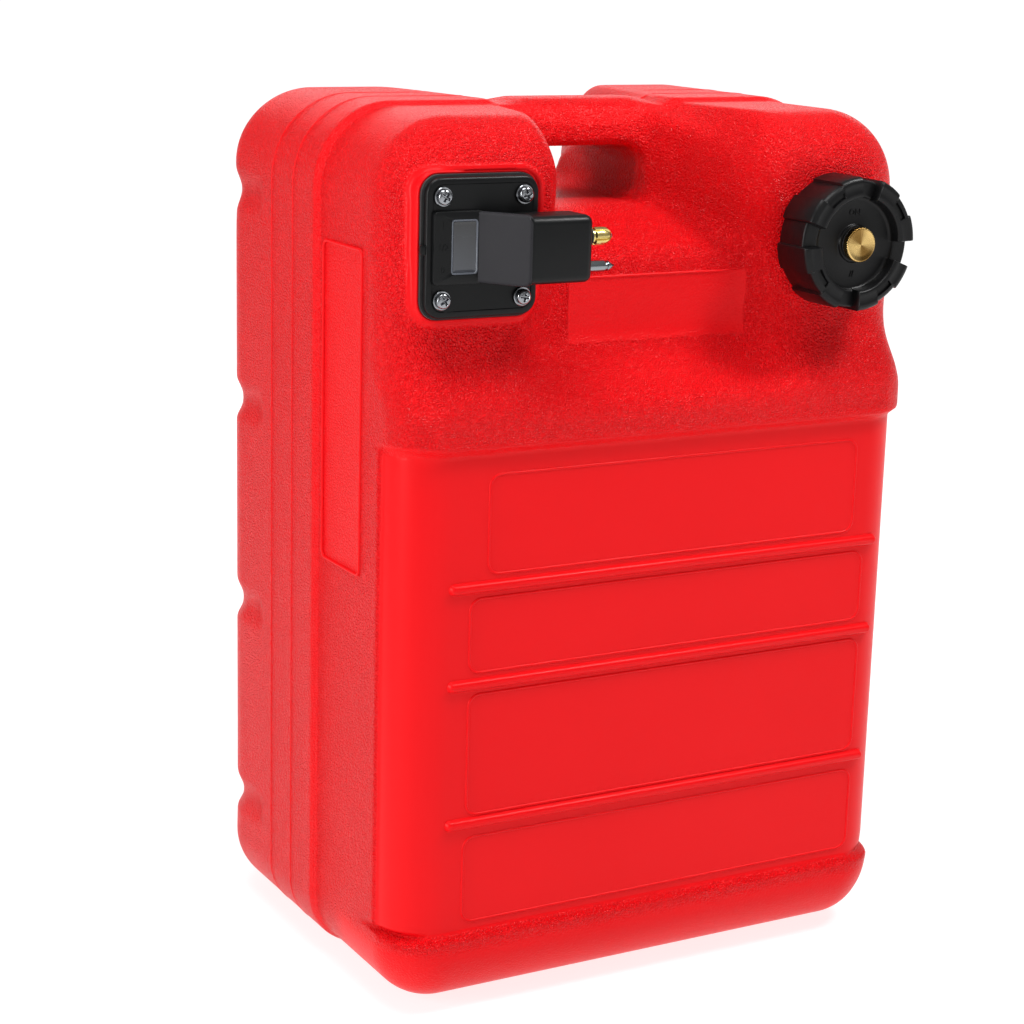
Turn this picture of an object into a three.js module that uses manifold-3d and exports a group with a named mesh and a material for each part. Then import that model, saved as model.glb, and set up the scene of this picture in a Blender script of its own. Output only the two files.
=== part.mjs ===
// A portable outboard fuel tank, standing on its end: a blow-moulded tank with a hand hole,
// a screwed filler cap with a vent screw, and a gauge head that carries the fuel outlet and the float.
// Millimetres, +Z up, the label face towards -Y. The origin is the middle of the overall box, at its bottom.
import * as THREE from "three";
import { mergeVertices } from "three/addons/utils/BufferGeometryUtils.js";
import Module from "manifold-3d";

const wasm = await Module();
wasm.setup();

// Tank body: overall sizes
const height = 502;
const halfWidth = 168.5; // side face to the middle, front half
const setOut = 2.5; // how far the back half stands out past the front half's sides
const setOutPlace = 12; // the step between the halves, ahead of the mid-plane
const setOutRun = 4;
const frontDepth = 125; // label face ahead of the mid-plane
const backDepth = 125;
const bulge = 5.5; // base and shoulder proud of the label face
const bulgeRun = 3; // height of the slope between label face and bulge
const labelSideStep = 2.5; // label zone inside the side face, where it wraps round the corner
const labelSidePlace = 97; // where that step lies, ahead of the mid-plane
const labelSideRun = 1.5;
const shoulderOut = 1.5; // shoulder and base proud of the side face
const planRadius = 28; // front vertical corners
const backPlanRadius = 38;
const topRadius = 48; // top corners, seen from the front
const bottomRadius = 38; // bottom corners, seen from the front
const frontTopRadius = 30; // top edge of the blocks, front and back
const bottomEdgeRadius = 36; // bottom edge, front and back
const wall = 4.5;

// Tank body: the front face's zones, measured down from the tank's top but for the ledge
const ledgeHeight = 49; // label zone starts, from the bottom
const shoulderDown = 182; // label zone ends, shoulder starts
const shoulderTopDown = 158;
const panelBottomDown = 131; // recess face between the blocks starts
const hollowDown = 120; // hollow between shoulder and blocks
const blockDown = 98; // blocks start
const panelTopDown = 77;
const lipDown = 57;
const labelTop = height - shoulderDown;
const shoulderTop = height - shoulderTopDown;
const panelBottom = height - panelBottomDown;
const neckHeight = height - hollowDown;
const blockStart = height - blockDown;
const panelTop = height - panelTopDown;
const lipHeight = height - lipDown;

// Tank body: how far those zones lie behind the label face and the back face
const hollowSink = 15;
const blockSink = 11;
const panelSink = 33; // recess face between the blocks
const backPocketSink = 45;
const neckDepth = frontDepth - hollowSink;
const blockDepth = frontDepth - blockSink; // block faces ahead of the mid-plane
const panelDepth = frontDepth - panelSink;
const pocketDepth = 32; // finger pocket at the hand hole, ahead of the mid-plane
const backPocketDepth = backDepth - backPocketSink;

// Hand hole and handle bar
const holeHalf = 40;
const holeDown = 59; // its lower edge below the tank's top
const holeTall = 30;
const holeRadius = 12;
const holeBottom = height - holeDown;
const holeTop = holeBottom + holeTall;
const barLead = 5; // the bar's front starts this far below the top of the hole
const barRun = 3;
const barFront = 22;
const barBack = 26;
const barRadius = 13;

// Blocks beside the recess: widths from the side face to where the recess floor ends, and to where the
// block faces start
const panelEnd = 102.5;
const leftPanelBlock = 88.5;
const rightPanelBlock = 84.5;
const pocketEnd = 124.5;
const leftPocketBlock = 90.5;
const rightPocketBlock = 108.5;
const backPocketEnd = 122.5;
const backPocketBlock = 104.5;
const panelHalf = halfWidth - panelEnd;
const leftPanelOuter = halfWidth - leftPanelBlock;
const rightPanelOuter = halfWidth - rightPanelBlock;
const pocketHalf = halfWidth - pocketEnd;
const leftPocketOuter = halfWidth - leftPocketBlock;
const rightPocketOuter = halfWidth - rightPocketBlock;
const backPocketHalf = halfWidth - backPocketEnd;
const backPocketOuter = halfWidth - backPocketBlock;

// Grooves across the back and round its corners
const grooveCount = 4;
const grooveFirst = 64; // height of the lowest
const grooveLastDown = 60; // the highest, below the tank's top
const grooveHalf = 12;
const grooveDepth = 4.5;
const grooveEnd = 60; // they end this far behind the mid-plane
const grooveEndRun = 8;
const groovePitch = (height - grooveLastDown - grooveFirst) / (grooveCount - 1);

// Raised bars on the label face, and shallow smooth insets
const ribRise_shares = [0.2362, 0.5332, 0.7362]; // of the label zone's height
const ribLeftIn = 30.5; // ends in from the side faces
const ribRightIn = 21;
const ribHalf = 2.6;
const ribProud = 3;
const ribRound = 1.2;
const insetSink = 0.8;
const panelInsetEnd = 16; // left end in from the recess floor's end
const panelInsetRise = 2; // above the recess floor's start
const panelInsetDown = 16; // below the recess floor's end
const panelInsetRadius = 6;
const sideInsetFront = 70; // ahead of the mid-plane
const sideInsetBack = 24;
const sideInsetDown = 75; // top end below the tank's top
const sideInsetTall = 180;

// Gauge head: a flange screwed to the left block
const headIn = 49.7; // middle in from the side face
const headDown = 69.6; // middle below the tank's top
const headX = headIn - halfWidth;
const headZ = height - headDown;
const plateHalfWidth = 33.3;
const plateHalfHeight = 37;
const plateRadius = 9;
const plateThick = 4;
const pocketMargin = 2.4; // moulded pocket round the flange
const pocketSink = 2;
const seatFill = 12; // solid seat behind the pocket's floor, out to the rounded corner
const gasketMargin = 1.2; // gasket wider than the flange
const gasketThick = 1.8;
const seatGap = 0.3;
const screwSpanX = 24.1;
const screwSpanZ = 27.1;
const flangeHole = 25; // hole through the tank wall
const bossRadius = 24.2;
const bossLength = 10.5;
const chamberLeft = 4.2; // pointer chamber and float shaft axis, from the head's middle
const chamberRise = 0.6;
const chamberX = headX - chamberLeft;
const chamberZ = headZ + chamberRise;
const chamberRadius = 15.5;
const chamberSkin = 4.2; // from the pad's face to the chamber
const padStart = 30.2; // pad's ends left of the head's middle
const padEnd = 3;
const padFoot = 18.8; // below and above the head's middle
const padHead = 19.8;
const padThick = 3;
const padRadius = 2;
const windowStart = 19.4;
const windowEnd = 5.2;
const windowFoot = 12.8;
const windowHead = 14.6;
const windowLedge = 1.2;
const lensThick = 2;
const lensSink = 0.3;
const rampReach = 13.6; // ramp's end right of the head's middle
const armReach = 50.3;
const armCover = 13; // from the outlet's axis to the arm's front
const armFoot = 17.4;
const armHead = 17;
const armOverhang = 2.4; // gap between the arm's back and the flange's face level
const armRound = 3.4;
const passageReach = 15.3; // fuel way through the flange, right of the head's middle
const passageRadius = 2.4;
const socketRadius = 3.8;
const socketDepth = 5;

// Flange fasteners
const insertRadius = 4;
const insertLength = 11;
const insertBossRadius = 6.6;
const insertBossLength = 15;
const insertBore = 2.4;
const screwRadius = 2.1;
const screwLength = 17;
const screwHeadRadius = 4.2;
const screwHeadHeight = 2.8;
const washerRadius = 5.2;
const washerBore = 2.6;
const washerThick = 1;
const screwHoleRadius = 2.8;
const driveSpan = 4.6;
const driveWidth = 1.1;
const driveDepth = 1.4;
const screwTip_share = 0.6;
const headEdge_share = 0.35;
const headDome_shares = [0.8, 0.8]; // of the head's radius and of its height
const headFlat_share = 0.45;

// Outlet: brass nipple with a sprung check valve, and the steel guide pin
const outletRise = 15.6; // nipple and pin axes ahead of the flange's face
const nippleRise = 5.6; // above the head's middle
const nippleReach = 18; // tip beyond the arm
const nippleRadius = 5.2;
const nippleNeckRadius = 3.9;
const nippleRootRadius = 4.4;
const nippleSeat = 13; // length held in the arm
const nippleBore = 2.1;
const nippleNose = 3;
const nippleNoseRadius = 3;
const nippleCollar = 1.5;
const nippleHead = 8.5; // length of the fluted head
const fluteCount = 8;
const fluteRadius = 0.7;
const oringThick = 1.3;
const valveRadius = 1.6;
const valveProud = 1.2;
const valveLength = 19;
const valveFlange = 3.1;
const valveFlangeThick = 1.6;
const springRadius = 2.3;
const springWire = 0.35;
const springTurns = 4;
const springSteps = 9;
const springSides = 3;
const springRoom = 9;
const pinRadius = 3.1;
const pinFall = 10.6; // below the head's middle
const pinReach = 20.5;
const pinPoint = 5.5;
const pinNeckRadius = 2;
const pinTipRadius = 0.5;
const pinSeat = 12;

// Float gear inside the tank
const shaftRadius = 2;
const backPlateThick = 2.6;
const backPlateSink = 0.4;
const bushRadius = 4;
const bushLength = 7;
const bushFlangeRadius = 5.4;
const bushFlangeThick = 1.4;
const pointerRadius = 14.4;
const pointerThick = 1.5;
const clipRadius = 4;
const clipThick = 1;
const hubRadius = 6;
const hubLength = 10;
const hubBehind = 28; // hub's front face behind the block face
const armLength = 268; // float shaft to float
const wireRadius = 1.5;
const wireBend = 8;
const wireReach = 57; // from the hub's middle to the wire's end behind the float
const wireSides = 5;
const bendSteps = 4;
const floatRadius = 17;
const floatLength = 40;
const floatStart = 5; // from the bend to the float
const floatEdge = 2;
const retainerRadius = 4;
const retainerThick = 1.6;

// Pickup tube and strainer
const tubeRadius = 3.5;
const tubeBore = 2.5;
const tubeBend = 10;
const tubeReach = 5; // straight length between the flange and the bend
const tubeFoot = 30;
const tubeSides = 8;
const strainerRadius = 8;
const strainerTop = 41;
const strainerBottom = 9;
const strainerFloor = 6;
const strainerEdge = 1;
const strainerSlots = 3;
const slotWidth = 1.6;

// Filler neck
const neckIn = 58.3; // axis in from the side face
const neckDown = 74.3;
const neckX = halfWidth - neckIn;
const neckZ = height - neckDown;
const neckBore = 24.5;
const neckCore = 28.6;
const neckLength = 15.5;
const threadPitch = 6;
const threadCrest = 30.2;
const threadStart = 3.5;
const threadTurns = 1.25;
const threadRootWidth = 2.6;
const threadCrestWidth = 1.4;
const threadSink = 0.5;

// Filler cap, measured ahead of the block face
const capGap = 0.6;
const capCoreRadius = 36.4;
const capRadius = 38.2;
const capWallInner = 31.4;
const capHeight = 29.6;
const capCoreFace = 23.6;
const capDiscFace = 21.6;
const crownInner = 26;
const crownCount = 4;
const crownAngle = 70;
const crownTurn = 35; // middle of the first crown segment, from +X
const crownBevel = 1.2;
const crownPocketAngle = 20;
const crownPocketWidth = 4.2;
const crownPocketDepth = 1.6;
const crownPocketInner = 29;
const sectorStep = 10; // degrees to each facet of the segments
const capThreadCrest = 29.1;
const capSkirtIn = 2; // the segments' sides reach this far into the skirt
const gasketInner = 24.8;
const gasketOuter = 30.6;
const capGasketThick = 2;
const capRoof = neckLength + capGasketThick + 2 * seatGap;
const ventBossRadius = 10.4;
const ventBossFace = 23.2;
const ventBossInner = 8.6;
const ventBossBack = 13.5;
const ventShoulder = 2;

// Vent screw in the cap
const ventBushRadius = 5.4;
const ventBushBore = 3.6;
const ventHeadRadius = 9.9;
const ventHeadThick = 4.7;
const ventKnurls = 18;
const ventKnurlDepth = 0.5;
const ventHeadEdge = 0.6;
const ventDishRadius = 7.6;
const ventDishDepth = 0.5;
const ventShank = 2.6;
const ventCrest = 3.2;
const ventPitch = 1.5;
const ventThreadTurns = 3;
const ventThreadStart = 17;
const ventThreadSink = 0.25;
const ventBushCrest = 3;
const ventEnd = 8;
const ventClipRadius = 4.8;
const ventClipPlace = 9;
const ventSealOuter = 8.6;
const ventSealInner = 3.6;
const ventSealThick = 1.1;

// Mesh fineness and cutting overrun
const over = 2;
const largeSides = 36;
const mediumSides = 20;
const smallSides = 12;
const turn = Math.PI * 2;
const quarter = Math.PI / 2;

// Small maths
const mix = (a, b, share) => a + (b - a) * share;
const clamp = (value) => Math.min(1, Math.max(0, value));
const ease = (value) => clamp(value) ** 2 * (3 - 2 * clamp(value));
const between = (value, low, high) => ease((value - low) / (high - low));
const radians = (degrees) => (degrees * Math.PI) / 180;
const drop = (past, radius) =>
  past <= 0 ? 0 : radius - Math.sqrt(Math.max(0, radius ** 2 - Math.min(past, radius) ** 2));

// Closed solids from geometries, and back
function solid(geometry) {
  geometry.deleteAttribute("normal");
  geometry.deleteAttribute("uv");
  const merged = mergeVertices(geometry, 1e-4);
  const index = merged.index.array;
  const kept = [];
  for (let i = 0; i < index.length; i += 3) {
    const [a, b, c] = [index[i], index[i + 1], index[i + 2]];
    if (a !== b && b !== c && c !== a) kept.push(a, b, c);
  }
  const build = (triangles) =>
    new wasm.Manifold(
      new wasm.Mesh({
        numProp: 3,
        vertProperties: new Float32Array(merged.attributes.position.array),
        triVerts: new Uint32Array(triangles),
      }),
    );
  const made = build(kept);
  return made.volume() < 0 ? build(kept.reverse()) : made;
}

function geometryOf(body) {
  const mesh = body.getMesh();
  const geometry = new THREE.BufferGeometry();
  geometry.setAttribute("position", new THREE.BufferAttribute(mesh.vertProperties, 3));
  geometry.setIndex(new THREE.BufferAttribute(mesh.triVerts, 1));
  geometry.computeVertexNormals();
  return geometry;
}

// Turned solids: profile points are [radius, distance]
const turned = (profile, sides) =>
  new THREE.LatheGeometry(
    profile.map(([r, d]) => new THREE.Vector2(r, d)),
    sides,
  );

// A turned solid along -Y, its distances measured ahead of the block face
const ahead = (profile, x, z, sides) =>
  solid(turned(profile.map(([r, d]) => [r, -blockDepth - d]), sides).translate(x, 0, z));

// A turned solid along +X, its distances measured as x
const along = (profile, y, z, sides) =>
  solid(turned(profile, sides).rotateZ(-quarter).translate(0, y, z));

const cylinder = (radius, from, to) => [[0, from], [radius, from], [radius, to], [0, to]];
const ring = (inner, outer, from, to) => [
  [inner, from],
  [outer, from],
  [outer, to],
  [inner, to],
  [inner, from],
];

// Flat shapes and slabs in the X-Z plane, from yFront back to yBack
function roundedShape(left, right, bottom, top, radius) {
  const shape = new THREE.Shape();
  shape.absarc(right - radius, bottom + radius, radius, -quarter, 0);
  shape.absarc(right - radius, top - radius, radius, 0, quarter);
  shape.absarc(left + radius, top - radius, radius, quarter, 2 * quarter);
  shape.absarc(left + radius, bottom + radius, radius, 2 * quarter, 3 * quarter);
  return shape;
}

const slab = (shape, yFront, yBack, curveSegments = 2) =>
  solid(
    new THREE.ExtrudeGeometry(shape, { depth: yBack - yFront, bevelEnabled: false, curveSegments })
      .rotateX(quarter)
      .translate(0, yBack, 0),
  );

// Tank body: front and back depth at a place on the face
function frontProfile(x, z) {
  const outside = clamp((ledgeHeight - z) / bulgeRun) + clamp((z - labelTop) / bulgeRun);
  const low = frontDepth + bulge * outside;
  const neck = mix(low, neckDepth, between(z, shoulderTop, neckHeight));
  const block = mix(neck, blockDepth, between(z, neckHeight, blockStart));
  const panel = mix(low, panelDepth, between(z, shoulderTop, panelBottom));
  const pocket = mix(panel, pocketDepth, between(z, panelTop, lipHeight));
  const recess = mix(pocket, barFront, clamp((z - holeTop + barLead) / barRun));
  return mix(recess, block, frontShare(x, z));
}

function frontShare(x, z) {
  const rise = between(z, panelTop, lipHeight);
  const inner = mix(panelHalf, pocketHalf, rise);
  const outer = x < 0
    ? mix(leftPanelOuter, leftPocketOuter, rise)
    : mix(rightPanelOuter, rightPocketOuter, rise);
  return between(Math.abs(x), inner, outer);
}

const backShare = (x) => between(Math.abs(x), backPocketHalf, backPocketOuter);

function backProfile(x, z) {
  const pocket = mix(backDepth, backPocketDepth, between(z, panelTop, lipHeight));
  const recess = mix(pocket, barBack, clamp((z - holeTop + barLead) / barRun));
  return mix(recess, backDepth, backShare(x));
}

// The same, moved inwards by a wall and rounded at the top and bottom edges
function depthAt(profile, share, x, z, inset) {
  let depth = profile(x, z) - inset;
  for (let k = 0; k < 8 && inset > 0; k++) {
    const angle = (turn * k) / 8;
    const reach = profile(x + inset * Math.cos(angle), z + inset * Math.sin(angle));
    depth = Math.min(depth, reach - inset * Math.SQRT1_2);
  }
  const edge = mix(barRadius, frontTopRadius, share(x, z));
  const top = drop(z - height + edge, edge - inset);
  return depth - top - drop(bottomEdgeRadius - z, bottomEdgeRadius - inset);
}

const frontAt = (x, z, inset) => depthAt(frontProfile, frontShare, x, z, inset);
const backAt = (x, z, inset) => depthAt(backProfile, backShare, x, z, inset);

const outlineDrop = (z, inset) =>
  drop(z - height + topRadius, topRadius - inset) + drop(bottomRadius - z, bottomRadius - inset);

// Half of a level section, from the front middle round the side to the back middle
function halfSection(z, inset, side, [frontStations, backStations], arcSteps) {
  const aboveLedge = clamp((z - ledgeHeight + bulgeRun) / bulgeRun);
  const label = aboveLedge * clamp((labelTop + bulgeRun - z) / bulgeRun);
  const sunk = 1 - between(z, shoulderTop, neckHeight);
  const flank = halfWidth + shoulderOut * (1 - label) * sunk - inset - outlineDrop(z, inset);
  const corner = flank - labelSideStep * label;
  const rear = halfWidth + setOut - inset - outlineDrop(z, inset);
  const radius = planRadius - inset;
  const reach = Math.min(corner, rear) - radius;
  const cornerDepth = frontAt(side * reach, z, inset);
  const points = [...frontStations, reach].map((x) => [side * x, -frontAt(side * x, z, inset)]);
  for (let k = 1; k <= arcSteps; k++) {
    const angle = (quarter * k) / arcSteps;
    const out = (corner - reach) * Math.sin(angle);
    points.push([side * (reach + out), -cornerDepth + radius * (1 - Math.cos(angle))]);
  }
  const step = Math.max(-cornerDepth + radius + labelSideRun, -labelSidePlace);
  points.push([side * corner, step]);
  points.push([side * flank, step + labelSideRun]);
  points.push([side * flank, -setOutPlace - setOutRun / 2]);
  points.push([side * rear, -setOutPlace + setOutRun / 2]);
  const rearRadius = backPlanRadius - inset;
  const rearReach = Math.min(corner, rear) - rearRadius;
  const rearDepth = backAt(side * rearReach, z, inset);
  for (let k = 0; k < arcSteps; k++) {
    const angle = (quarter * k) / arcSteps;
    const out = (rear - rearReach) * Math.cos(angle);
    points.push([side * (rearReach + out), rearDepth - rearRadius * (1 - Math.sin(angle))]);
  }
  const across = [...backStations, rearReach].map((x) => [side * x, backAt(side * x, z, inset)]);
  return points.concat(across.reverse());
}

function section(z, inset, stations, arcSteps) {
  const right = halfSection(z, inset, 1, stations, arcSteps);
  const left = halfSection(z, inset, -1, stations, arcSteps);
  return right.concat(left.reverse().slice(1, -1));
}

function loft(heights, inset, stations, arcSteps) {
  const rows = heights.map((z) => section(z, inset, stations, arcSteps));
  const count = rows[0].length;
  const places = rows.flatMap((row, k) => row.flatMap(([x, y]) => [x, y, heights[k]]));
  const index = [];
  for (let k = 0; k + 1 < rows.length; k++) {
    for (let i = 0; i < count; i++) {
      const [a, b] = [k * count + i, k * count + ((i + 1) % count)];
      index.push(a, b, b + count, a, b + count, a + count);
    }
  }
  const lid = (row, flip) => {
    const contour = rows[row].map(([x, y]) => new THREE.Vector2(x, y));
    for (const face of THREE.ShapeUtils.triangulateShape(contour, [])) {
      const ordered = flip ? [...face].reverse() : face;
      index.push(...ordered.map((i) => i + row * count));
    }
  };
  lid(0, true);
  lid(rows.length - 1, false);
  const geometry = new THREE.BufferGeometry();
  geometry.setAttribute("position", new THREE.Float32BufferAttribute(places, 3));
  geometry.setIndex(index);
  return solid(geometry);
}

const ladder = (from, to, count) =>
  Array.from({ length: count }, (_, k) => mix(from, to, (k + 1) / count));

// Heights round an edge of the given radius, measured from the end face
const rounding = (radius, count) =>
  Array.from({ length: count }, (_, k) => radius * (1 - Math.cos((quarter * k) / count)));

const ascending = (values) => [...new Set(values)].sort((a, b) => a - b);

const backStations = (count) => [
  0,
  backPocketHalf,
  ...ladder(backPocketHalf, backPocketOuter, count),
];

function tankOuter() {
  const heights = ascending([
    ...rounding(bottomRadius, 4),
    bottomRadius,
    ledgeHeight - bulgeRun,
    ledgeHeight,
    labelTop,
    labelTop + bulgeRun,
    shoulderTop,
    ...ladder(shoulderTop, panelBottom, 4),
    neckHeight,
    mix(neckHeight, blockStart, 0.5),
    blockStart,
    panelTop,
    ...ladder(panelTop, lipHeight, 4),
    height - topRadius,
    holeTop - barLead,
    holeTop - barLead + barRun,
    ...rounding(frontTopRadius, 5).map((d) => height - d),
    height - barRadius,
  ]);
  const stations = ascending([
    0,
    mix(0, pocketHalf, 0.5),
    pocketHalf,
    ...ladder(pocketHalf, rightPocketOuter, 3),
    panelHalf,
    mix(panelHalf, leftPocketOuter, 0.5),
    leftPocketOuter,
    rightPanelOuter,
  ]);
  return loft(heights, 0, [stations, backStations(4)], 4);
}

function tankCavity() {
  const heights = ascending([
    ...rounding(bottomRadius - wall, 3).map((d) => wall + d),
    bottomRadius,
    ledgeHeight + wall,
    labelTop - wall,
    shoulderTop - wall,
    ...ladder(shoulderTop, panelBottom, 3),
    neckHeight,
    blockStart,
    panelTop - wall,
    ...ladder(panelTop, lipHeight, 3),
    height - topRadius,
    ...rounding(frontTopRadius - wall, 3).map((d) => height - wall - d),
  ]);
  const stations = ascending([
    0,
    pocketHalf,
    ...ladder(pocketHalf, rightPocketOuter, 2),
    panelHalf,
    leftPocketOuter,
    rightPanelOuter,
  ]);
  return loft(heights, wall, [stations, backStations(2)], 2);
}

const handHole = (margin) =>
  slab(
    roundedShape(
      -holeHalf - margin,
      holeHalf + margin,
      holeBottom - margin,
      holeTop + margin,
      holeRadius + margin,
    ),
    -frontDepth - over,
    backDepth + over,
  );

// One groove's cutter: everything outside the tank's section less the groove's depth, behind its end
function grooveCutter(z, margin) {
  const outside = halfWidth + setOut + over;
  const inner = halfWidth + setOut - grooveDepth - margin;
  const backFace = backDepth - grooveDepth - margin;
  const start = grooveEnd - margin;
  const radius = backPlanRadius - grooveDepth;
  const shape = new THREE.Shape();
  shape.moveTo(outside, start);
  shape.lineTo(outside, backDepth + over);
  shape.lineTo(-outside, backDepth + over);
  shape.lineTo(-outside, start);
  shape.lineTo(-inner, start + grooveEndRun);
  shape.absarc(-inner + radius, backFace - radius, radius, 2 * quarter, quarter, true);
  shape.absarc(inner - radius, backFace - radius, radius, quarter, 0, true);
  shape.lineTo(inner, start + grooveEndRun);
  const depth = 2 * (grooveHalf + margin);
  const geometry = new THREE.ExtrudeGeometry(shape, { depth, bevelEnabled: false, curveSegments: 2 });
  return solid(geometry.translate(0, 0, z - depth / 2));
}

function labelRib(z) {
  const half = ribHalf - ribRound;
  const shape = roundedShape(
    ribLeftIn - halfWidth + ribRound,
    halfWidth - ribRightIn - ribRound,
    z - half,
    z + half,
    half,
  );
  const geometry = new THREE.ExtrudeGeometry(shape, {
    depth: ribProud - ribRound + wall / 2,
    bevelThickness: ribRound,
    bevelSize: ribRound,
    bevelSegments: 1,
    curveSegments: 2,
  });
  return solid(geometry.rotateX(quarter).translate(0, wall / 2 - frontDepth, 0));
}

// A helical ridge round an axis along -Y, from a start distance ahead of the block face
function helicalRidge({ root, crest, start, turns, pitch, rootWidth, crestWidth, steps }) {
  const places = [];
  const index = [];
  const count = Math.round(turns * steps);
  for (let k = 0; k <= count; k++) {
    const angle = (turn * k) / steps;
    const middle = start + (pitch * k) / steps;
    const corners = [
      [root, middle - rootWidth / 2],
      [crest, middle - crestWidth / 2],
      [crest, middle + crestWidth / 2],
      [root, middle + rootWidth / 2],
    ];
    for (const [r, d] of corners)
      places.push(r * Math.cos(angle), -blockDepth - d, r * Math.sin(angle));
  }
  for (let k = 0; k < count; k++) {
    for (let j = 0; j < 4; j++) {
      const [a, b] = [4 * k + j, 4 * k + ((j + 1) % 4)];
      index.push(a, b, b + 4, a, b + 4, a + 4);
    }
  }
  index.push(0, 2, 1, 0, 3, 2);
  index.push(4 * count, 4 * count + 1, 4 * count + 2, 4 * count, 4 * count + 2, 4 * count + 3);
  const geometry = new THREE.BufferGeometry();
  geometry.setAttribute("position", new THREE.Float32BufferAttribute(places, 3));
  geometry.setIndex(index);
  return geometry;
}

const screwPlaces = [-1, 1].flatMap((u) =>
  [-1, 1].map((v) => [headX + u * screwSpanX, headZ + v * screwSpanZ]),
);

const pocketFace = blockDepth - pocketSink;
const gasketFace = pocketFace + seatGap + gasketThick;
const plateBack = gasketFace + seatGap;
const plateFace = plateBack + plateThick;
const padFace = plateFace + padThick;
const chamberFace = padFace - chamberSkin;
const bossBack = plateBack - bossLength;

const padLeft = headX - padStart;
const padRight = headX - padEnd;
const rampEnd = headX + rampReach;
const armEnd = headX + armReach;
const armBottom = headZ - armFoot;
const passageX = headX + passageReach;
const outletDepth = plateFace + outletRise;
const armFront = outletDepth + armCover;
const nippleZ = headZ + nippleRise;
const pinZ = headZ - pinFall;
const nippleTip = armEnd + nippleReach;
const pinTip = armEnd + pinReach;

// Distance ahead of the block face, from the depth ahead of the mid-plane
const aheadOf = (depth) => depth - blockDepth;

const plateBox = (margin) =>
  roundedShape(
    headX - plateHalfWidth - margin,
    headX + plateHalfWidth + margin,
    headZ - plateHalfHeight - margin,
    headZ + plateHalfHeight + margin,
    plateRadius + margin,
  );

function tankShell() {
  let outer = tankOuter();
  let cavity = tankCavity();
  for (let k = 0; k < grooveCount; k++) {
    const z = grooveFirst + k * groovePitch;
    outer = outer.subtract(grooveCutter(z, 0));
    cavity = cavity.subtract(grooveCutter(z, wall));
  }
  outer = outer.subtract(handHole(0));
  cavity = cavity.subtract(handHole(wall));
  for (const share of ribRise_shares)
    outer = outer.add(labelRib(mix(ledgeHeight, labelTop, share)));
  const inset = roundedShape(
    panelInsetEnd - panelHalf,
    panelHalf,
    panelBottom + panelInsetRise,
    panelTop - panelInsetDown,
    panelInsetRadius,
  );
  outer = outer.subtract(slab(inset, -panelDepth - over, insetSink - panelDepth, 1));
  const strip = new THREE.BoxGeometry(2 * over, sideInsetFront - sideInsetBack, sideInsetTall);
  strip.translate(
    insetSink - halfWidth - over,
    -(sideInsetFront + sideInsetBack) / 2,
    height - sideInsetDown - sideInsetTall / 2,
  );
  outer = outer.subtract(solid(strip));

  // Seat and hole for the gauge head, and bosses for its inserts
  const seat = plateBox(pocketMargin);
  outer = outer.add(slab(seat, -pocketFace, -pocketFace + seatFill));
  outer = outer.subtract(slab(seat, -frontDepth - over, -pocketFace));
  for (const [x, z] of screwPlaces) {
    const boss = cylinder(insertBossRadius, over, -pocketSink - insertBossLength);
    cavity = cavity.subtract(ahead(boss, x, z, smallSides));
    const bore = cylinder(insertRadius + seatGap, over, -pocketSink - insertLength - 2 * seatGap);
    outer = outer.subtract(ahead(bore, x, z, smallSides));
  }

  // Filler neck with its thread
  const neck = ahead(cylinder(neckCore, neckLength, -wall / 2), neckX, neckZ, largeSides);
  const thread = helicalRidge({
    root: neckCore - threadSink,
    crest: threadCrest,
    start: threadStart,
    turns: threadTurns,
    pitch: threadPitch,
    rootWidth: threadRootWidth,
    crestWidth: threadCrestWidth,
    steps: mediumSides,
  });
  const hole = cylinder(flangeHole, over, -pocketSink - wall - seatFill);
  const mouth = cylinder(neckBore, neckLength + over, -wall - over);
  return outer
    .add(neck)
    .add(solid(thread.translate(neckX, 0, neckZ)))
    .subtract(cavity)
    .subtract(ahead(hole, headX, headZ, mediumSides))
    .subtract(ahead(mouth, neckX, neckZ, largeSides));
}

// Gauge head: the gasket, and the flange with its arm, chamber and fuel way
function flangeGasket() {
  let body = slab(plateBox(gasketMargin), -gasketFace, gasketThick - gasketFace, 3);
  const through = (radius) => cylinder(radius, aheadOf(gasketFace) + over, -pocketSink - over);
  body = body.subtract(ahead(through(flangeHole), headX, headZ, mediumSides));
  for (const [x, z] of screwPlaces)
    body = body.subtract(ahead(through(screwHoleRadius), x, z, smallSides));
  return body;
}

function armHousing() {
  const outline = new THREE.Shape();
  outline.moveTo(padRight, -plateBack);
  outline.lineTo(padRight, -padFace);
  outline.lineTo(rampEnd, -armFront);
  outline.lineTo(armEnd - armRound, -armFront);
  outline.lineTo(armEnd, armRound - armFront);
  outline.lineTo(armEnd, -plateBack);
  const whole = solid(
    new THREE.ExtrudeGeometry(outline, {
      depth: armFoot + armHead - 2 * armRound,
      bevelThickness: armRound,
      bevelSize: armRound,
      bevelOffset: -armRound,
      bevelSegments: 2,
    }).translate(0, 0, armBottom + armRound),
  );
  const onPlate = slab(plateBox(0), -armFront - over, -plateFace + plateThick / 2, 1);
  const beyond = slab(
    roundedShape(headX, armEnd + over, armBottom - over, headZ + armHead + over, over),
    -armFront - over,
    -plateFace - armOverhang,
    1,
  );
  return whole.intersect(onPlate.add(beyond));
}

const windowShape = (margin, radius) =>
  roundedShape(
    headX - windowStart + margin,
    headX - windowEnd - margin,
    headZ - windowFoot + margin,
    headZ + windowHead - margin,
    radius,
  );

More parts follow.
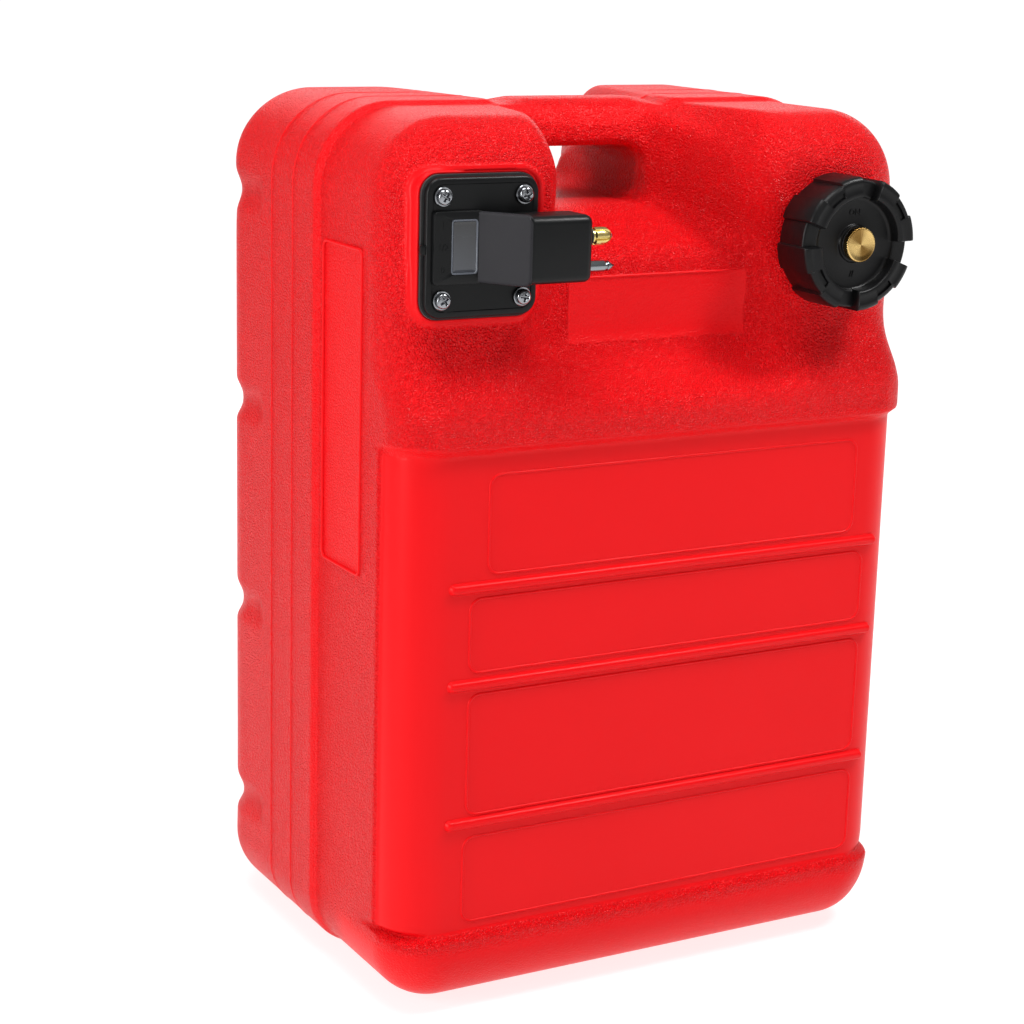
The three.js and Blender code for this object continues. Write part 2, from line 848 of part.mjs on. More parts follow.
function gaugeFlange() {
  const plate = slab(plateBox(0), -plateFace, -plateBack, 3);
  const bossFrom = aheadOf(plateBack + plateThick / 2);
  const boss = ahead(cylinder(bossRadius, bossFrom, aheadOf(bossBack)), headX, headZ, mediumSides);
  const pad = slab(
    roundedShape(padLeft, padRight + padThick, headZ - padFoot, headZ + padHead, padRadius),
    -padFace,
    -plateFace + plateThick / 2,
  );
  const window = (margin, to) => slab(windowShape(margin, windowLedge), -padFace - over, to, 1);
  const behind = aheadOf(bossBack) - over;
  const nippleEnd = armEnd - nippleSeat;
  const sideBore = (radius, from, z) =>
    along(cylinder(radius, from, armEnd + over), -outletDepth, z, smallSides);
  const cuts = [
    ahead(cylinder(chamberRadius, aheadOf(chamberFace), behind), chamberX, chamberZ, mediumSides),
    window(0, seatGap + lensThick + lensSink - padFace),
    window(windowLedge, over - chamberFace),
    ahead(cylinder(passageRadius, aheadOf(outletDepth), behind), passageX, nippleZ, smallSides),
    ahead(cylinder(socketRadius, aheadOf(bossBack) + socketDepth, behind), passageX, nippleZ, smallSides),
    sideBore(passageRadius, passageX, nippleZ),
    sideBore(valveFlange + seatGap, nippleEnd - springRoom, nippleZ),
    sideBore(nippleRootRadius + seatGap, nippleEnd - seatGap, nippleZ),
    sideBore(pinRadius + seatGap, armEnd - pinSeat - seatGap, pinZ),
  ];
  const screwHole = cylinder(screwHoleRadius, aheadOf(plateFace) + over, aheadOf(plateBack) - over);
  for (const [x, z] of screwPlaces) cuts.push(ahead(screwHole, x, z, smallSides));
  return cuts.reduce((body, cut) => body.subtract(cut), plate.add(boss).add(pad).add(armHousing()));
}

const gaugeLens = () =>
  slab(windowShape(seatGap, windowLedge - seatGap), lensSink - padFace, lensSink + lensThick - padFace);

// Flange fasteners, each at its place
function flangeInsert([x, z]) {
  const from = -pocketSink - seatGap;
  return ahead(ring(insertBore, insertRadius, from, from - insertLength), x, z, smallSides);
}

function flangeWasher([x, z]) {
  const from = aheadOf(plateFace) + seatGap;
  return ahead(ring(washerBore, washerRadius, from, from + washerThick), x, z, mediumSides);
}

function flangeScrew([x, z]) {
  const seat = aheadOf(plateFace) + 2 * seatGap + washerThick;
  const top = seat + screwHeadHeight;
  const end = seat - screwLength;
  const profile = [
    [0, end],
    [screwRadius * screwTip_share, end],
    [screwRadius, end + screwRadius],
    [screwRadius, seat],
    [screwHeadRadius, seat],
    [screwHeadRadius, mix(seat, top, headEdge_share)],
    [screwHeadRadius * headDome_shares[0], mix(seat, top, headDome_shares[1])],
    [screwHeadRadius * headFlat_share, top],
    [0, top],
  ];
  const slot = (width, tall) =>
    solid(
      new THREE.BoxGeometry(width, 2 * driveDepth, tall)
        .rotateY(quarter / 2)
        .translate(x, -blockDepth - top, z),
    );
  return ahead(profile, x, z, smallSides)
    .subtract(slot(driveSpan, driveWidth))
    .subtract(slot(driveWidth, driveSpan));
}

// Outlet pieces
function outletNipple() {
  const back = armEnd - nippleSeat;
  const collar = armEnd + seatGap;
  const headStart = nippleTip - nippleHead;
  const profile = [
    [nippleBore, back],
    [nippleRootRadius, back],
    [nippleRootRadius, collar],
    [nippleRadius, collar],
    [nippleRadius, collar + nippleCollar],
    [nippleNeckRadius, collar + nippleCollar],
    [nippleNeckRadius, headStart],
    [nippleRadius, headStart],
    [nippleRadius, nippleTip - nippleNose],
    [nippleNeckRadius, nippleTip - nippleNose / 2],
    [nippleNoseRadius, nippleTip],
    [nippleBore, nippleTip],
    [nippleBore, back],
  ];
  let body = along(profile, -outletDepth, nippleZ, mediumSides);
  for (let k = 0; k < fluteCount; k++) {
    const angle = (turn * k) / fluteCount;
    const y = nippleRadius * Math.sin(angle) - outletDepth;
    const z = nippleRadius * Math.cos(angle) + nippleZ;
    const flute = cylinder(fluteRadius, headStart - seatGap, nippleTip + over);
    body = body.subtract(along(flute, y, z, fluteCount));
  }
  return body;
}

function nippleOring() {
  const middle = (armEnd + seatGap + nippleCollar + nippleTip - nippleHead) / 2;
  const inner = nippleNeckRadius + seatGap;
  const profile = ring(inner, inner + oringThick, middle - oringThick / 2, middle + oringThick / 2);
  return along(profile, -outletDepth, nippleZ, mediumSides);
}

function outletValve() {
  const face = armEnd - nippleSeat - seatGap;
  const tip = nippleTip + valveProud;
  const profile = [
    [0, face - valveFlangeThick],
    [valveFlange, face - valveFlangeThick],
    [valveFlange, face],
    [valveRadius, face],
    [valveRadius, tip - valveRadius / 2],
    [valveRadius / 2, tip],
    [0, tip],
  ];
  return along(profile, -outletDepth, nippleZ, smallSides);
}

// A path through listed points, passed evenly by number
class PointPath extends THREE.Curve {
  constructor(points) {
    super();
    this.points = points;
  }

  getPoint(share, target = new THREE.Vector3()) {
    const place = share * (this.points.length - 1);
    const k = Math.min(Math.floor(place), this.points.length - 2);
    return target.lerpVectors(this.points[k], this.points[k + 1], place - k);
  }

  getPointAt(share, target) {
    return this.getPoint(share, target);
  }

  getTangentAt(share, target) {
    return this.getTangent(share, target);
  }
}

function swept(points, outer, inner, sides) {
  const shape = new THREE.Shape();
  shape.absarc(0, 0, outer, 0, turn);
  if (inner > 0) shape.holes.push(new THREE.Path().absarc(0, 0, inner, 0, turn, true));
  const extrudePath = new PointPath(points);
  const steps = points.length - 1;
  return solid(
    new THREE.ExtrudeGeometry(shape, { steps, extrudePath, curveSegments: sides, bevelEnabled: false }),
  );
}

// Points from start to end round one corner
function bentPoints(start, corner, end, bend) {
  const into = start.clone().sub(corner).setLength(bend).add(corner);
  const away = end.clone().sub(corner).setLength(bend).add(corner);
  const arc = new THREE.QuadraticBezierCurve3(into, corner, away);
  return [start, ...arc.getPoints(bendSteps), end];
}

// The coil that holds the valve shut, along +X
function valveSpring() {
  const from = armEnd - nippleSeat - springRoom + springWire + seatGap;
  const to = armEnd - nippleSeat - valveFlangeThick - springWire - 2 * seatGap;
  const count = springTurns * springSteps;
  const points = Array.from({ length: count + 1 }, (_, k) => {
    const angle = (turn * k) / springSteps;
    const y = springRadius * Math.cos(angle) - outletDepth;
    return new THREE.Vector3(mix(from, to, k / count), y, springRadius * Math.sin(angle) + nippleZ);
  });
  return swept(points, springWire, 0, springSides);
}

function guidePin() {
  const profile = [
    [0, armEnd - pinSeat],
    [pinRadius, armEnd - pinSeat],
    [pinRadius, pinTip - pinPoint],
    [pinNeckRadius, pinTip - pinPoint / 2],
    [pinTipRadius, pinTip],
    [0, pinTip],
  ];
  return along(profile, -outletDepth, pinZ, smallSides);
}

// Float gear, from the front to the back
const nearShaft = (profile) => ahead(profile, chamberX, chamberZ, mediumSides);
const plateBehind = aheadOf(bossBack) + backPlateSink;
const shaftFront = aheadOf(chamberFace) - seatGap;
const bushFace = plateBehind + backPlateThick + seatGap + bushFlangeThick;
const bushEnd = bushFace - bushLength;
const clipFace = bushEnd - 2 * seatGap;

const gaugeBackPlate = () =>
  nearShaft(
    ring(bushRadius + seatGap, chamberRadius - seatGap, plateBehind, plateBehind + backPlateThick),
  );

const shaftBush = () =>
  nearShaft([
    [shaftRadius + seatGap, bushEnd],
    [bushRadius, bushEnd],
    [bushRadius, bushFace - bushFlangeThick],
    [bushFlangeRadius, bushFace - bushFlangeThick],
    [bushFlangeRadius, bushFace],
    [shaftRadius + seatGap, bushFace],
    [shaftRadius + seatGap, bushEnd],
  ]);

const pointerShaft = () =>
  nearShaft(cylinder(shaftRadius, shaftFront, -hubBehind - hubLength - clipThick));

const gaugePointer = () =>
  nearShaft(
    ring(shaftRadius + seatGap, pointerRadius, shaftFront, shaftFront - pointerThick),
  );

const shaftClip = () =>
  nearShaft(ring(shaftRadius + seatGap, clipRadius, clipFace, clipFace - clipThick));

const hubMiddle = -hubBehind - hubLength / 2;

function floatArm() {
  const middle = -blockDepth - hubMiddle;
  const hub = nearShaft(cylinder(hubRadius, -hubBehind, -hubBehind - hubLength));
  const low = chamberZ - armLength;
  const wire = swept(
    bentPoints(
      new THREE.Vector3(chamberX, middle, chamberZ - hubRadius / 2),
      new THREE.Vector3(chamberX, middle, low),
      new THREE.Vector3(chamberX, middle + wireReach, low),
      wireBend,
    ),
    wireRadius,
    0,
    wireSides,
  );
  const bore = cylinder(shaftRadius + seatGap, over - hubBehind, -over - hubBehind - hubLength);
  return hub.add(wire).subtract(nearShaft(bore));
}

const nearFloat = (profile) => ahead(profile, chamberX, chamberZ - armLength, mediumSides);
const floatFrom = hubMiddle - wireBend - floatStart;

const gaugeFloat = () =>
  nearFloat([
    [wireRadius + seatGap, floatFrom],
    [floatRadius - floatEdge, floatFrom],
    [floatRadius, floatFrom - floatEdge],
    [floatRadius, floatFrom - floatLength + floatEdge],
    [floatRadius - floatEdge, floatFrom - floatLength],
    [wireRadius + seatGap, floatFrom - floatLength],
    [wireRadius + seatGap, floatFrom],
  ]);

function floatRetainer() {
  const from = floatFrom - floatLength - seatGap;
  return nearFloat(ring(wireRadius + seatGap, retainerRadius, from, from - retainerThick));
}

// Fuel pickup
function pickupTube() {
  const inSocket = -blockDepth - aheadOf(bossBack) - socketDepth + seatGap;
  const down = -blockDepth - aheadOf(bossBack) + tubeReach + tubeBend;
  return swept(
    bentPoints(
      new THREE.Vector3(passageX, inSocket, nippleZ),
      new THREE.Vector3(passageX, down, nippleZ),
      new THREE.Vector3(passageX, down, tubeFoot),
      tubeBend,
    ),
    tubeRadius,
    tubeBore,
    tubeSides,
  );
}

function pickupStrainer() {
  const y = -blockDepth - aheadOf(bossBack) + tubeReach + tubeBend;
  const inner = tubeRadius + seatGap;
  const profile = [
    [0, strainerBottom],
    [strainerRadius - strainerEdge, strainerBottom],
    [strainerRadius, strainerBottom + strainerEdge],
    [strainerRadius, strainerTop - strainerEdge],
    [strainerRadius - strainerEdge, strainerTop],
    [inner, strainerTop],
    [inner, strainerBottom + strainerFloor],
    [0, strainerBottom + strainerFloor],
  ];
  let body = solid(turned(profile, mediumSides).rotateX(quarter).translate(passageX, y, 0));
  const tall = tubeFoot - strainerBottom - strainerFloor - over;
  for (let k = 0; k < strainerSlots; k++) {
    const slot = new THREE.BoxGeometry(3 * strainerRadius, slotWidth, tall);
    slot.rotateZ((turn * k) / (2 * strainerSlots));
    slot.translate(passageX, y, strainerBottom + strainerFloor + tall / 2);
    body = body.subtract(solid(slot));
  }
  return body;
}

// Filler cap
const nearNeck = (profile, sides = largeSides) => ahead(profile, neckX, neckZ, sides);

// A sector of a ring round the cap's axis, between two distances ahead of the block face
function capSector({ inner, outer, middle, angle, from, to, bevel }) {
  const [a, b] = [middle - radians(angle) / 2, middle + radians(angle) / 2];
  const shape = new THREE.Shape();
  shape.absarc(0, 0, outer, a, b);
  shape.absarc(0, 0, inner, b, a, true);
  const geometry = new THREE.ExtrudeGeometry(shape, {
    depth: to - from - 2 * bevel,
    bevelEnabled: bevel > 0,
    bevelThickness: bevel,
    bevelSize: bevel,
    bevelOffset: -bevel,
    bevelSegments: 1,
    curveSegments: Math.round(angle / sectorStep),
  });
  return solid(geometry.rotateX(quarter).translate(neckX, -blockDepth - from - bevel, neckZ));
}

function fillerCap() {
  let body = nearNeck([
    [capWallInner, capGap],
    [capCoreRadius, capGap],
    [capCoreRadius, capCoreFace],
    [crownInner, capCoreFace],
    [crownInner, capDiscFace],
    [ventBossRadius, capDiscFace],
    [ventBossRadius, ventBossFace],
    [ventBushRadius + seatGap, ventBossFace],
    [ventBushRadius + seatGap, ventBossBack + ventShoulder],
    [ventBushBore + seatGap, ventBossBack + ventShoulder],
    [ventBushBore + seatGap, ventBossBack],
    [ventBossInner, ventBossBack],
    [ventBossInner, capRoof],
    [capWallInner, capRoof],
    [capWallInner, capGap],
  ]);
  for (let k = 0; k < crownCount; k++) {
    const middle = radians(crownTurn) + (turn * k) / crownCount;
    const span = { middle, angle: crownAngle, outer: capRadius };
    const crown = { ...span, inner: crownInner, from: capDiscFace, to: capHeight };
    const flank = { ...span, inner: capWallInner + capSkirtIn, from: capGap, to: capCoreFace };
    const dip = {
      middle,
      angle: crownPocketAngle,
      inner: crownPocketInner,
      outer: crownPocketInner + crownPocketWidth,
      from: capHeight - crownPocketDepth,
      to: capHeight + over,
      bevel: 0,
    };
    body = body.add(capSector({ ...crown, bevel: crownBevel }));
    body = body.add(capSector({ ...flank, bevel: 0 })).subtract(capSector(dip));
  }
  const thread = helicalRidge({
    root: capWallInner + threadSink,
    crest: capThreadCrest,
    start: threadStart + threadPitch / 2,
    turns: threadTurns,
    pitch: threadPitch,
    rootWidth: threadRootWidth,
    crestWidth: threadCrestWidth,
    steps: mediumSides,
  });
  return body.add(solid(thread.translate(neckX, 0, neckZ)));
}

const capGasket = () =>
  nearNeck(ring(gasketInner, gasketOuter, neckLength + seatGap, neckLength + seatGap + capGasketThick));

// Vent screw and its fittings in the cap
function ventBush() {
  const end = ventBossBack + ventShoulder + seatGap;
  const body = nearNeck(ring(ventBushBore, ventBushRadius, end, ventBossFace), mediumSides);
  const thread = helicalRidge({
    root: ventBushBore + ventThreadSink,
    crest: ventBushCrest,
    start: ventThreadStart + ventPitch / 2,
    turns: ventThreadTurns,
    pitch: ventPitch,
    rootWidth: ventPitch / 2 - ventThreadSink,
    crestWidth: ventThreadSink,
    steps: smallSides,
  });
  return body.add(solid(thread.translate(neckX, 0, neckZ)));
}

function ventScrew() {
  const seat = ventBossFace + ventSealThick + 2 * seatGap;
  const top = seat + ventHeadThick;
  let body = nearNeck(
    [
      [0, ventEnd],
      [ventShank, ventEnd],
      [ventShank, seat],
      [ventHeadRadius, seat],
      [ventHeadRadius, top - ventHeadEdge],
      [ventHeadRadius - ventHeadEdge, top],
      [ventDishRadius, top],
      [ventDishRadius - ventDishDepth, top - ventDishDepth],
      [0, top - ventDishDepth],
    ],
    largeSides,
  );
  for (let k = 0; k < ventKnurls; k++) {
    const knurl = new THREE.BoxGeometry(ventKnurlDepth, 2 * ventHeadThick, ventKnurlDepth);
    knurl.rotateY(quarter / 2).translate(ventHeadRadius, 0, 0).rotateY((turn * k) / ventKnurls);
    body = body.subtract(solid(knurl.translate(neckX, -blockDepth - top, neckZ)));
  }
  const thread = helicalRidge({
    root: ventShank - ventThreadSink,
    crest: ventCrest,
    start: ventThreadStart,
    turns: ventThreadTurns,
    pitch: ventPitch,
    rootWidth: ventPitch / 2 - ventThreadSink,
    crestWidth: ventThreadSink,
    steps: smallSides,
  });
  return body.add(solid(thread.translate(neckX, 0, neckZ)));
}

const ventClip = () =>
  nearNeck(
    ring(ventShank + seatGap, ventClipRadius, ventClipPlace, ventClipPlace + clipThick),
    mediumSides,
  );

function ventSeal() {
  const from = ventBossFace + seatGap;
  return nearNeck(ring(ventSealInner, ventSealOuter, from, from + ventSealThick), mediumSides);
}

// Materials
const redPlastic = { color: 0xc8141c, roughness: 0.5, metalness: 0 };
const blackPlastic = { color: 0x1b1c1e, roughness: 0.45, metalness: 0 };
const darkRubber = { color: 0x111111, roughness: 0.8, metalness: 0 };
const whitePlastic = { color: 0xe6e4da, roughness: 0.5, metalness: 0 };
const smokedLens = { color: 0x30343a, roughness: 0.1, metalness: 0 };
const brass = { color: 0xc9a04c, roughness: 0.3, metalness: 1 };
const steel = { color: 0xb9bcc0, roughness: 0.25, metalness: 1 };

const part = new THREE.Group();
part.name = "outboard_fuel_tank";
const placed = new THREE.Group();
placed.position.y = (armFront - backDepth) / 2;
part.add(placed);

function piece(name, body, material) {
  const mesh = new THREE.Mesh(geometryOf(body), new THREE.MeshStandardMaterial(material));
  mesh.name = name;
  placed.add(mesh);
}

piece("tank_shell", tankShell(), redPlastic);
piece("flange_gasket", flangeGasket(), darkRubber);
piece("gauge_flange", gaugeFlange(), blackPlastic);
piece("gauge_lens", gaugeLens(), smokedLens);
piece("gauge_back_plate", gaugeBackPlate(), blackPlastic);
piece("shaft_bush", shaftBush(), whitePlastic);
screwPlaces.forEach((place, k) => {
  piece("screw_insert_" + (k + 1), flangeInsert(place), brass);
  piece("flange_washer_" + (k + 1), flangeWasher(place), steel);
  piece("flange_screw_" + (k + 1), flangeScrew(place), steel);
});
piece("outlet_nipple", outletNipple(), brass);
piece("nipple_oring", nippleOring(), darkRubber);
piece("outlet_valve", outletValve(), steel);
piece("valve_spring", valveSpring(), steel);
piece("guide_pin", guidePin(), steel);
piece("pickup_tube", pickupTube(), steel);
piece("pickup_strainer", pickupStrainer(), whitePlastic);
piece("pointer_shaft", pointerShaft(), steel);
piece("gauge_pointer", gaugePointer(), whitePlastic);
piece("shaft_clip", shaftClip(), steel);
piece("float_arm", floatArm(), steel);
piece("float", gaugeFloat(), blackPlastic);
piece("float_retainer", floatRetainer(), steel);
piece("filler_cap", fillerCap(), blackPlastic);
piece("cap_gasket", capGasket(), darkRubber);
piece("vent_bush", ventBush(), brass);
piece("vent_screw", ventScrew(), brass);
piece("vent_seal", ventSeal(), darkRubber);
piece("vent_clip", ventClip(), steel);

export default part;
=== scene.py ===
"""Looks of a portable outboard fuel tank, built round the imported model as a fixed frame.

Sizes in the classes are millimetres in the tank's own frame: X to the right of the label face, Y to the
back with 0 at the tank's mid-plane, Z up from the underside. One function turns them to the row frame.
"""

import logging
import math
from collections.abc import Callable, Sequence
from dataclasses import dataclass, field
from enum import Enum

import bmesh
import bpy
import numpy as np
import openvdb
from mathutils import Matrix, Vector


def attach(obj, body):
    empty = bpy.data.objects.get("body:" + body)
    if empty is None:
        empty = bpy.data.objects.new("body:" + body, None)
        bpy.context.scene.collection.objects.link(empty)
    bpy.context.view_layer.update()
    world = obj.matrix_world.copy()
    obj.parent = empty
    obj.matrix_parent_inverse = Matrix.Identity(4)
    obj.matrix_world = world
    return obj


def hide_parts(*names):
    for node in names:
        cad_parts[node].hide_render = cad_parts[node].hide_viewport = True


log = logging.getLogger("fuel_tank")
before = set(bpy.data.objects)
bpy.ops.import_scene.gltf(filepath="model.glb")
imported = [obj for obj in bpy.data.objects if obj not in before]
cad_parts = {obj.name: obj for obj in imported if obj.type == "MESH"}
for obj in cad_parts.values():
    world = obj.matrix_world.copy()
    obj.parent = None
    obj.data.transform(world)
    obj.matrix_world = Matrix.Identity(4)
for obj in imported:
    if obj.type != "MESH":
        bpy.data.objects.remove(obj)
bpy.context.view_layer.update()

Array = np.ndarray
Profile = list[tuple[float, float]]
Point = tuple[float, float, float]
Box = tuple[float, float, float, float]
Tree = bpy.types.NodeTree
Node = bpy.types.Node
Socket = bpy.types.NodeSocket
Inputs = dict[str | int, object]

MM = 0.001
ROW_SHIFT = 11.0  # the row frame's origin lies this far ahead of the tank's mid-plane
BLOCK_DEPTH = 114.0  # face of the two upper blocks, ahead of the mid-plane


class Body(str, Enum):
    """The rigid bodies that pieces made here ride on."""

    TANK = "tank"
    CAP = "cap"
    VENT_CARRIER = "vent_carrier"
    VENT = "vent"


class Slot(str, Enum):
    """The record's material slots, passed along with the pieces made here."""

    TANK = "tank_plastic"
    BLACK = "black_plastic"
    LENS = "lens"
    RUBBER = "seal_rubber"
    BRASS = "brass"
    STEEL = "steel"
    CHROME = "chrome_steel"


# Small maths


def mix(low: Array | float, high: Array | float, share: Array | float) -> Array | float:
    """The value a share of the way from low to high."""
    return low + (high - low) * share


def smooth(value: Array | float, low: float, high: float) -> Array:
    """An eased step from 0 at low to 1 at high."""
    t = np.clip((value - low) / (high - low), 0.0, 1.0)
    return t * t * (3.0 - 2.0 * t)


def window(value: Array | float, low: float, high: float, ease: float) -> Array:
    """1 between low and high, falling to 0 over ease outside them."""
    return smooth(value, low - ease, low) * (1.0 - smooth(value, high, high + ease))


def round_meet(a: Array, b: Array, radius: Array | float) -> Array:
    """The meeting of two solids' distance fields, with their edge rounded.

    Args:
        a: distances to the first solid, negative inside.
        b: distances to the second solid.
        radius: radius of the rounded edge.

    Returns:
        Distances to what both solids share.
    """
    ua = np.maximum(a + radius, 0.0)
    ub = np.maximum(b + radius, 0.0)
    return np.minimum(np.maximum(a, b), -radius) + np.sqrt(ua * ua + ub * ub)


def rounded_box(x: Array, z: Array, half_x: float, half_z: float, radius: Array | float) -> Array:
    """Distance in the plane to a rounded rectangle about the origin, negative inside.

    Args:
        x: places across.
        z: places up.
        half_x: half its width.
        half_z: half its height.
        radius: its corners' radius.

    Returns:
        The distance at each place.
    """
    qx = np.abs(x) - half_x + radius
    qz = np.abs(z) - half_z + radius
    outside = np.sqrt(np.maximum(qx, 0.0) ** 2 + np.maximum(qz, 0.0) ** 2)
    return np.minimum(np.maximum(qx, qz), 0.0) + outside - radius


def soften(depth: Array, reach: float, step: float) -> Array:
    """Smooths a map of depths by a bell curve.

    Args:
        depth: the map.
        reach: the curve's standard deviation, in the map's units.
        step: distance between neighbouring values.

    Returns:
        The smoothed map.
    """
    half = int(3 * reach / step)
    weights = np.exp(-0.5 * (np.arange(-half, half + 1) * step / reach) ** 2)
    weights /= weights.sum()
    for axis in (0, 1):
        padded = np.pad(depth, [(half, half) if a == axis else (0, 0) for a in (0, 1)], mode="edge")
        depth = np.apply_along_axis(lambda row: np.convolve(row, weights, "valid"), axis, padded)
    return depth


def to_linear(colour: str) -> tuple[float, float, float, float]:
    """Turns an sRGB hex colour into linear red, green, blue and alpha.

    Args:
        colour: the colour, written as # and six digits.

    Returns:
        The four values.
    """
    parts = [int(colour[i : i + 2], 16) / 255 for i in (1, 3, 5)]
    linear = [c / 12.92 if c <= 0.04045 else ((c + 0.055) / 1.055) ** 2.4 for c in parts]
    return (linear[0], linear[1], linear[2], 1.0)


# Materials


class Kind(str, Enum):
    """The kinds of node that the finishes are made of."""

    SURFACE = "ShaderNodeBsdfPrincipled"
    OUTPUT = "ShaderNodeOutputMaterial"
    PLACE = "ShaderNodeTexCoord"
    ATTRIBUTE = "ShaderNodeAttribute"
    NOISE = "ShaderNodeTexNoise"
    CELLS = "ShaderNodeTexVoronoi"
    MIX = "ShaderNodeMix"
    RANGE = "ShaderNodeMapRange"
    MATHS = "ShaderNodeMath"
    VECTOR_MATHS = "ShaderNodeVectorMath"
    SPLIT = "ShaderNodeSeparateXYZ"
    BUMP = "ShaderNodeBump"
    TANGENT = "ShaderNodeTangent"


EASED = {"interpolation_type": "SMOOTHSTEP"}


def feed(tree: Tree, node: Node, inputs: Inputs) -> None:
    """Sets a node's inputs.

    Args:
        tree: the material's node tree.
        node: the node.
        inputs: for each input socket, a value, or an output socket to link from.
    """
    for key, value in inputs.items():
        if isinstance(value, bpy.types.NodeSocket):
            tree.links.new(value, node.inputs[key])
        else:
            node.inputs[key].default_value = value


def add_node(
    tree: Tree,
    kind: Kind,
    settings: dict[str, object] | None = None,
    inputs: Inputs | None = None,
) -> Node:
    """Adds a node with its settings, values and links.

    Args:
        tree: the material's node tree.
        kind: the node's kind.
        settings: attributes to set on the node.
        inputs: for each input socket, a value, or an output socket to link from.

    Returns:
        The new node.
    """
    node = tree.nodes.new(kind.value)
    for key, value in (settings or {}).items():
        setattr(node, key, value)
    feed(tree, node, inputs or {})
    return node


@dataclass(frozen=True)
class Finish:
    """A surface finish. build() makes its material once and keeps it by name."""

    name: str
    colour: str
    roughness: float = 0.5
    metallic: float = 0.0

    def build(self) -> bpy.types.Material:
        """Makes the material, or returns the one made before.

        Returns:
            The material.
        """
        made = bpy.data.materials.get(self.name)
        if made:
            return made
        made = bpy.data.materials.new(self.name)
        made.use_nodes = True
        tree = made.node_tree
        tree.nodes.clear()
        values = {"Base Color": to_linear(self.colour), "Roughness": self.roughness, "Metallic": self.metallic}
        shader = add_node(tree, Kind.SURFACE, inputs=values)
        add_node(tree, Kind.OUTPUT, inputs={"Surface": shader.outputs["BSDF"]})
        place = add_node(tree, Kind.PLACE).outputs["Object"]
        feed(tree, shader, self.dress(tree, place))
        return made

    def dress(self, tree: Tree, place: Socket) -> Inputs:
        """Adds the finish's own nodes. Each finish has its own.

        Args:
            tree: the material's node tree.
            place: the place on the object.

        Returns:
            What the surface's inputs take.
        """
        return {}


@dataclass(frozen=True)
class PebbledPolyethylene(Finish):
    """Blow-moulded high-density polyethylene.

    The mould is etched with a leathery grain of small pebbles, which is weaker or absent on the satin panels,
    where the mesh's grain value is low. The skin is a little translucent, so edges glow and shadows stay warm.
    """

    grain_mm: float = 1.9
    grain_depth_mm: float = 0.65
    bend_share: float = 0.0016  # how far noise bends the pebbles' cells
    wrinkle_weight: float = 1.6  # of the wrinkles between the pebbles
    drift_mm: float = 1000 / 9  # width of the patches that the colour drifts over
    ripple_mm: float = 1000 / 60  # width and depth of the ripple that blowing leaves
    ripple_depth_mm: float = 0.8
    gloss_gain: float = 0.06  # how much less rough the grain is than the panels
    specular: float = 0.14
    glow_weight: float = 0.05
    glow_colour: Point = (1.0, 0.25, 0.15)
    glow_mm: float = 4.0  # how far light spreads under the skin

    def dress(self, tree: Tree, place: Socket) -> Inputs:
        """Adds the grain, its mask and the soft colour drift.

        Args:
            tree: the material's node tree.
            place: the place on the object.

        Returns:
            What the surface's inputs take.
        """
        grain = add_node(tree, Kind.ATTRIBUTE, {"attribute_name": "grain"}).outputs["Fac"]
        values = {"Vector": place, "Scale": 1 / (self.drift_mm * MM), "Detail": 2.0}
        drift = add_node(tree, Kind.NOISE, inputs=values).outputs["Fac"]
        values = {0: drift, 6: to_linear("#E0060E"), 7: to_linear("#E80912")}
        colour = add_node(tree, Kind.MIX, {"data_type": "RGBA"}, values).outputs[2]
        # Pebbles: bent cells with sunk joints between them, some run together
        per_pebble = 1 / (self.grain_mm * MM)
        values = {"Vector": place, "Scale": 0.55 * per_pebble, "Detail": 2.0}
        bend = add_node(tree, Kind.NOISE, inputs=values).outputs["Color"]
        values = {0: self.bend_share, 4: place, 5: bend}
        bent = add_node(tree, Kind.MIX, {"data_type": "VECTOR"}, values).outputs[1]
        values = {"Vector": bent, "Scale": per_pebble, "Randomness": 1.0}
        joints = add_node(tree, Kind.CELLS, {"feature": "DISTANCE_TO_EDGE"}, values).outputs["Distance"]
        pebble = add_node(tree, Kind.RANGE, EASED, {"Value": joints, "From Min": 0.0, "From Max": 0.3}).outputs[0]
        values = {"Vector": place, "Scale": 1.1 * per_pebble, "Detail": 2.0, "Distortion": 1.2}
        wrinkle = add_node(tree, Kind.NOISE, inputs=values).outputs["Fac"]
        values = {0: wrinkle, 1: self.wrinkle_weight, 2: pebble}
        height = add_node(tree, Kind.MATHS, {"operation": "MULTIPLY_ADD"}, values).outputs[0]
        masked = add_node(tree, Kind.MATHS, {"operation": "MULTIPLY"}, {0: height, 1: grain}).outputs[0]
        # Satin panels keep a trace of ripple from the blowing
        values = {"Vector": place, "Scale": 1 / (self.ripple_mm * MM), "Detail": 1.0}
        ripple = add_node(tree, Kind.NOISE, inputs=values).outputs["Fac"]
        values = {"Height": ripple, "Strength": 0.12, "Distance": self.ripple_depth_mm * MM}
        soft = add_node(tree, Kind.BUMP, inputs=values).outputs["Normal"]
        values = {"Height": masked, "Strength": 1.0, "Distance": self.grain_depth_mm * MM, "Normal": soft}
        normal = add_node(tree, Kind.BUMP, inputs=values).outputs["Normal"]
        values = {"Value": grain, "To Min": self.roughness, "To Max": self.roughness - self.gloss_gain}
        return {
            "Base Color": colour,
            "Normal": normal,
            "Roughness": add_node(tree, Kind.RANGE, inputs=values).outputs[0],
            "Specular IOR Level": self.specular,
            "Subsurface Weight": self.glow_weight,
            "Subsurface Radius": self.glow_colour,
            "Subsurface Scale": self.glow_mm * MM,
        }


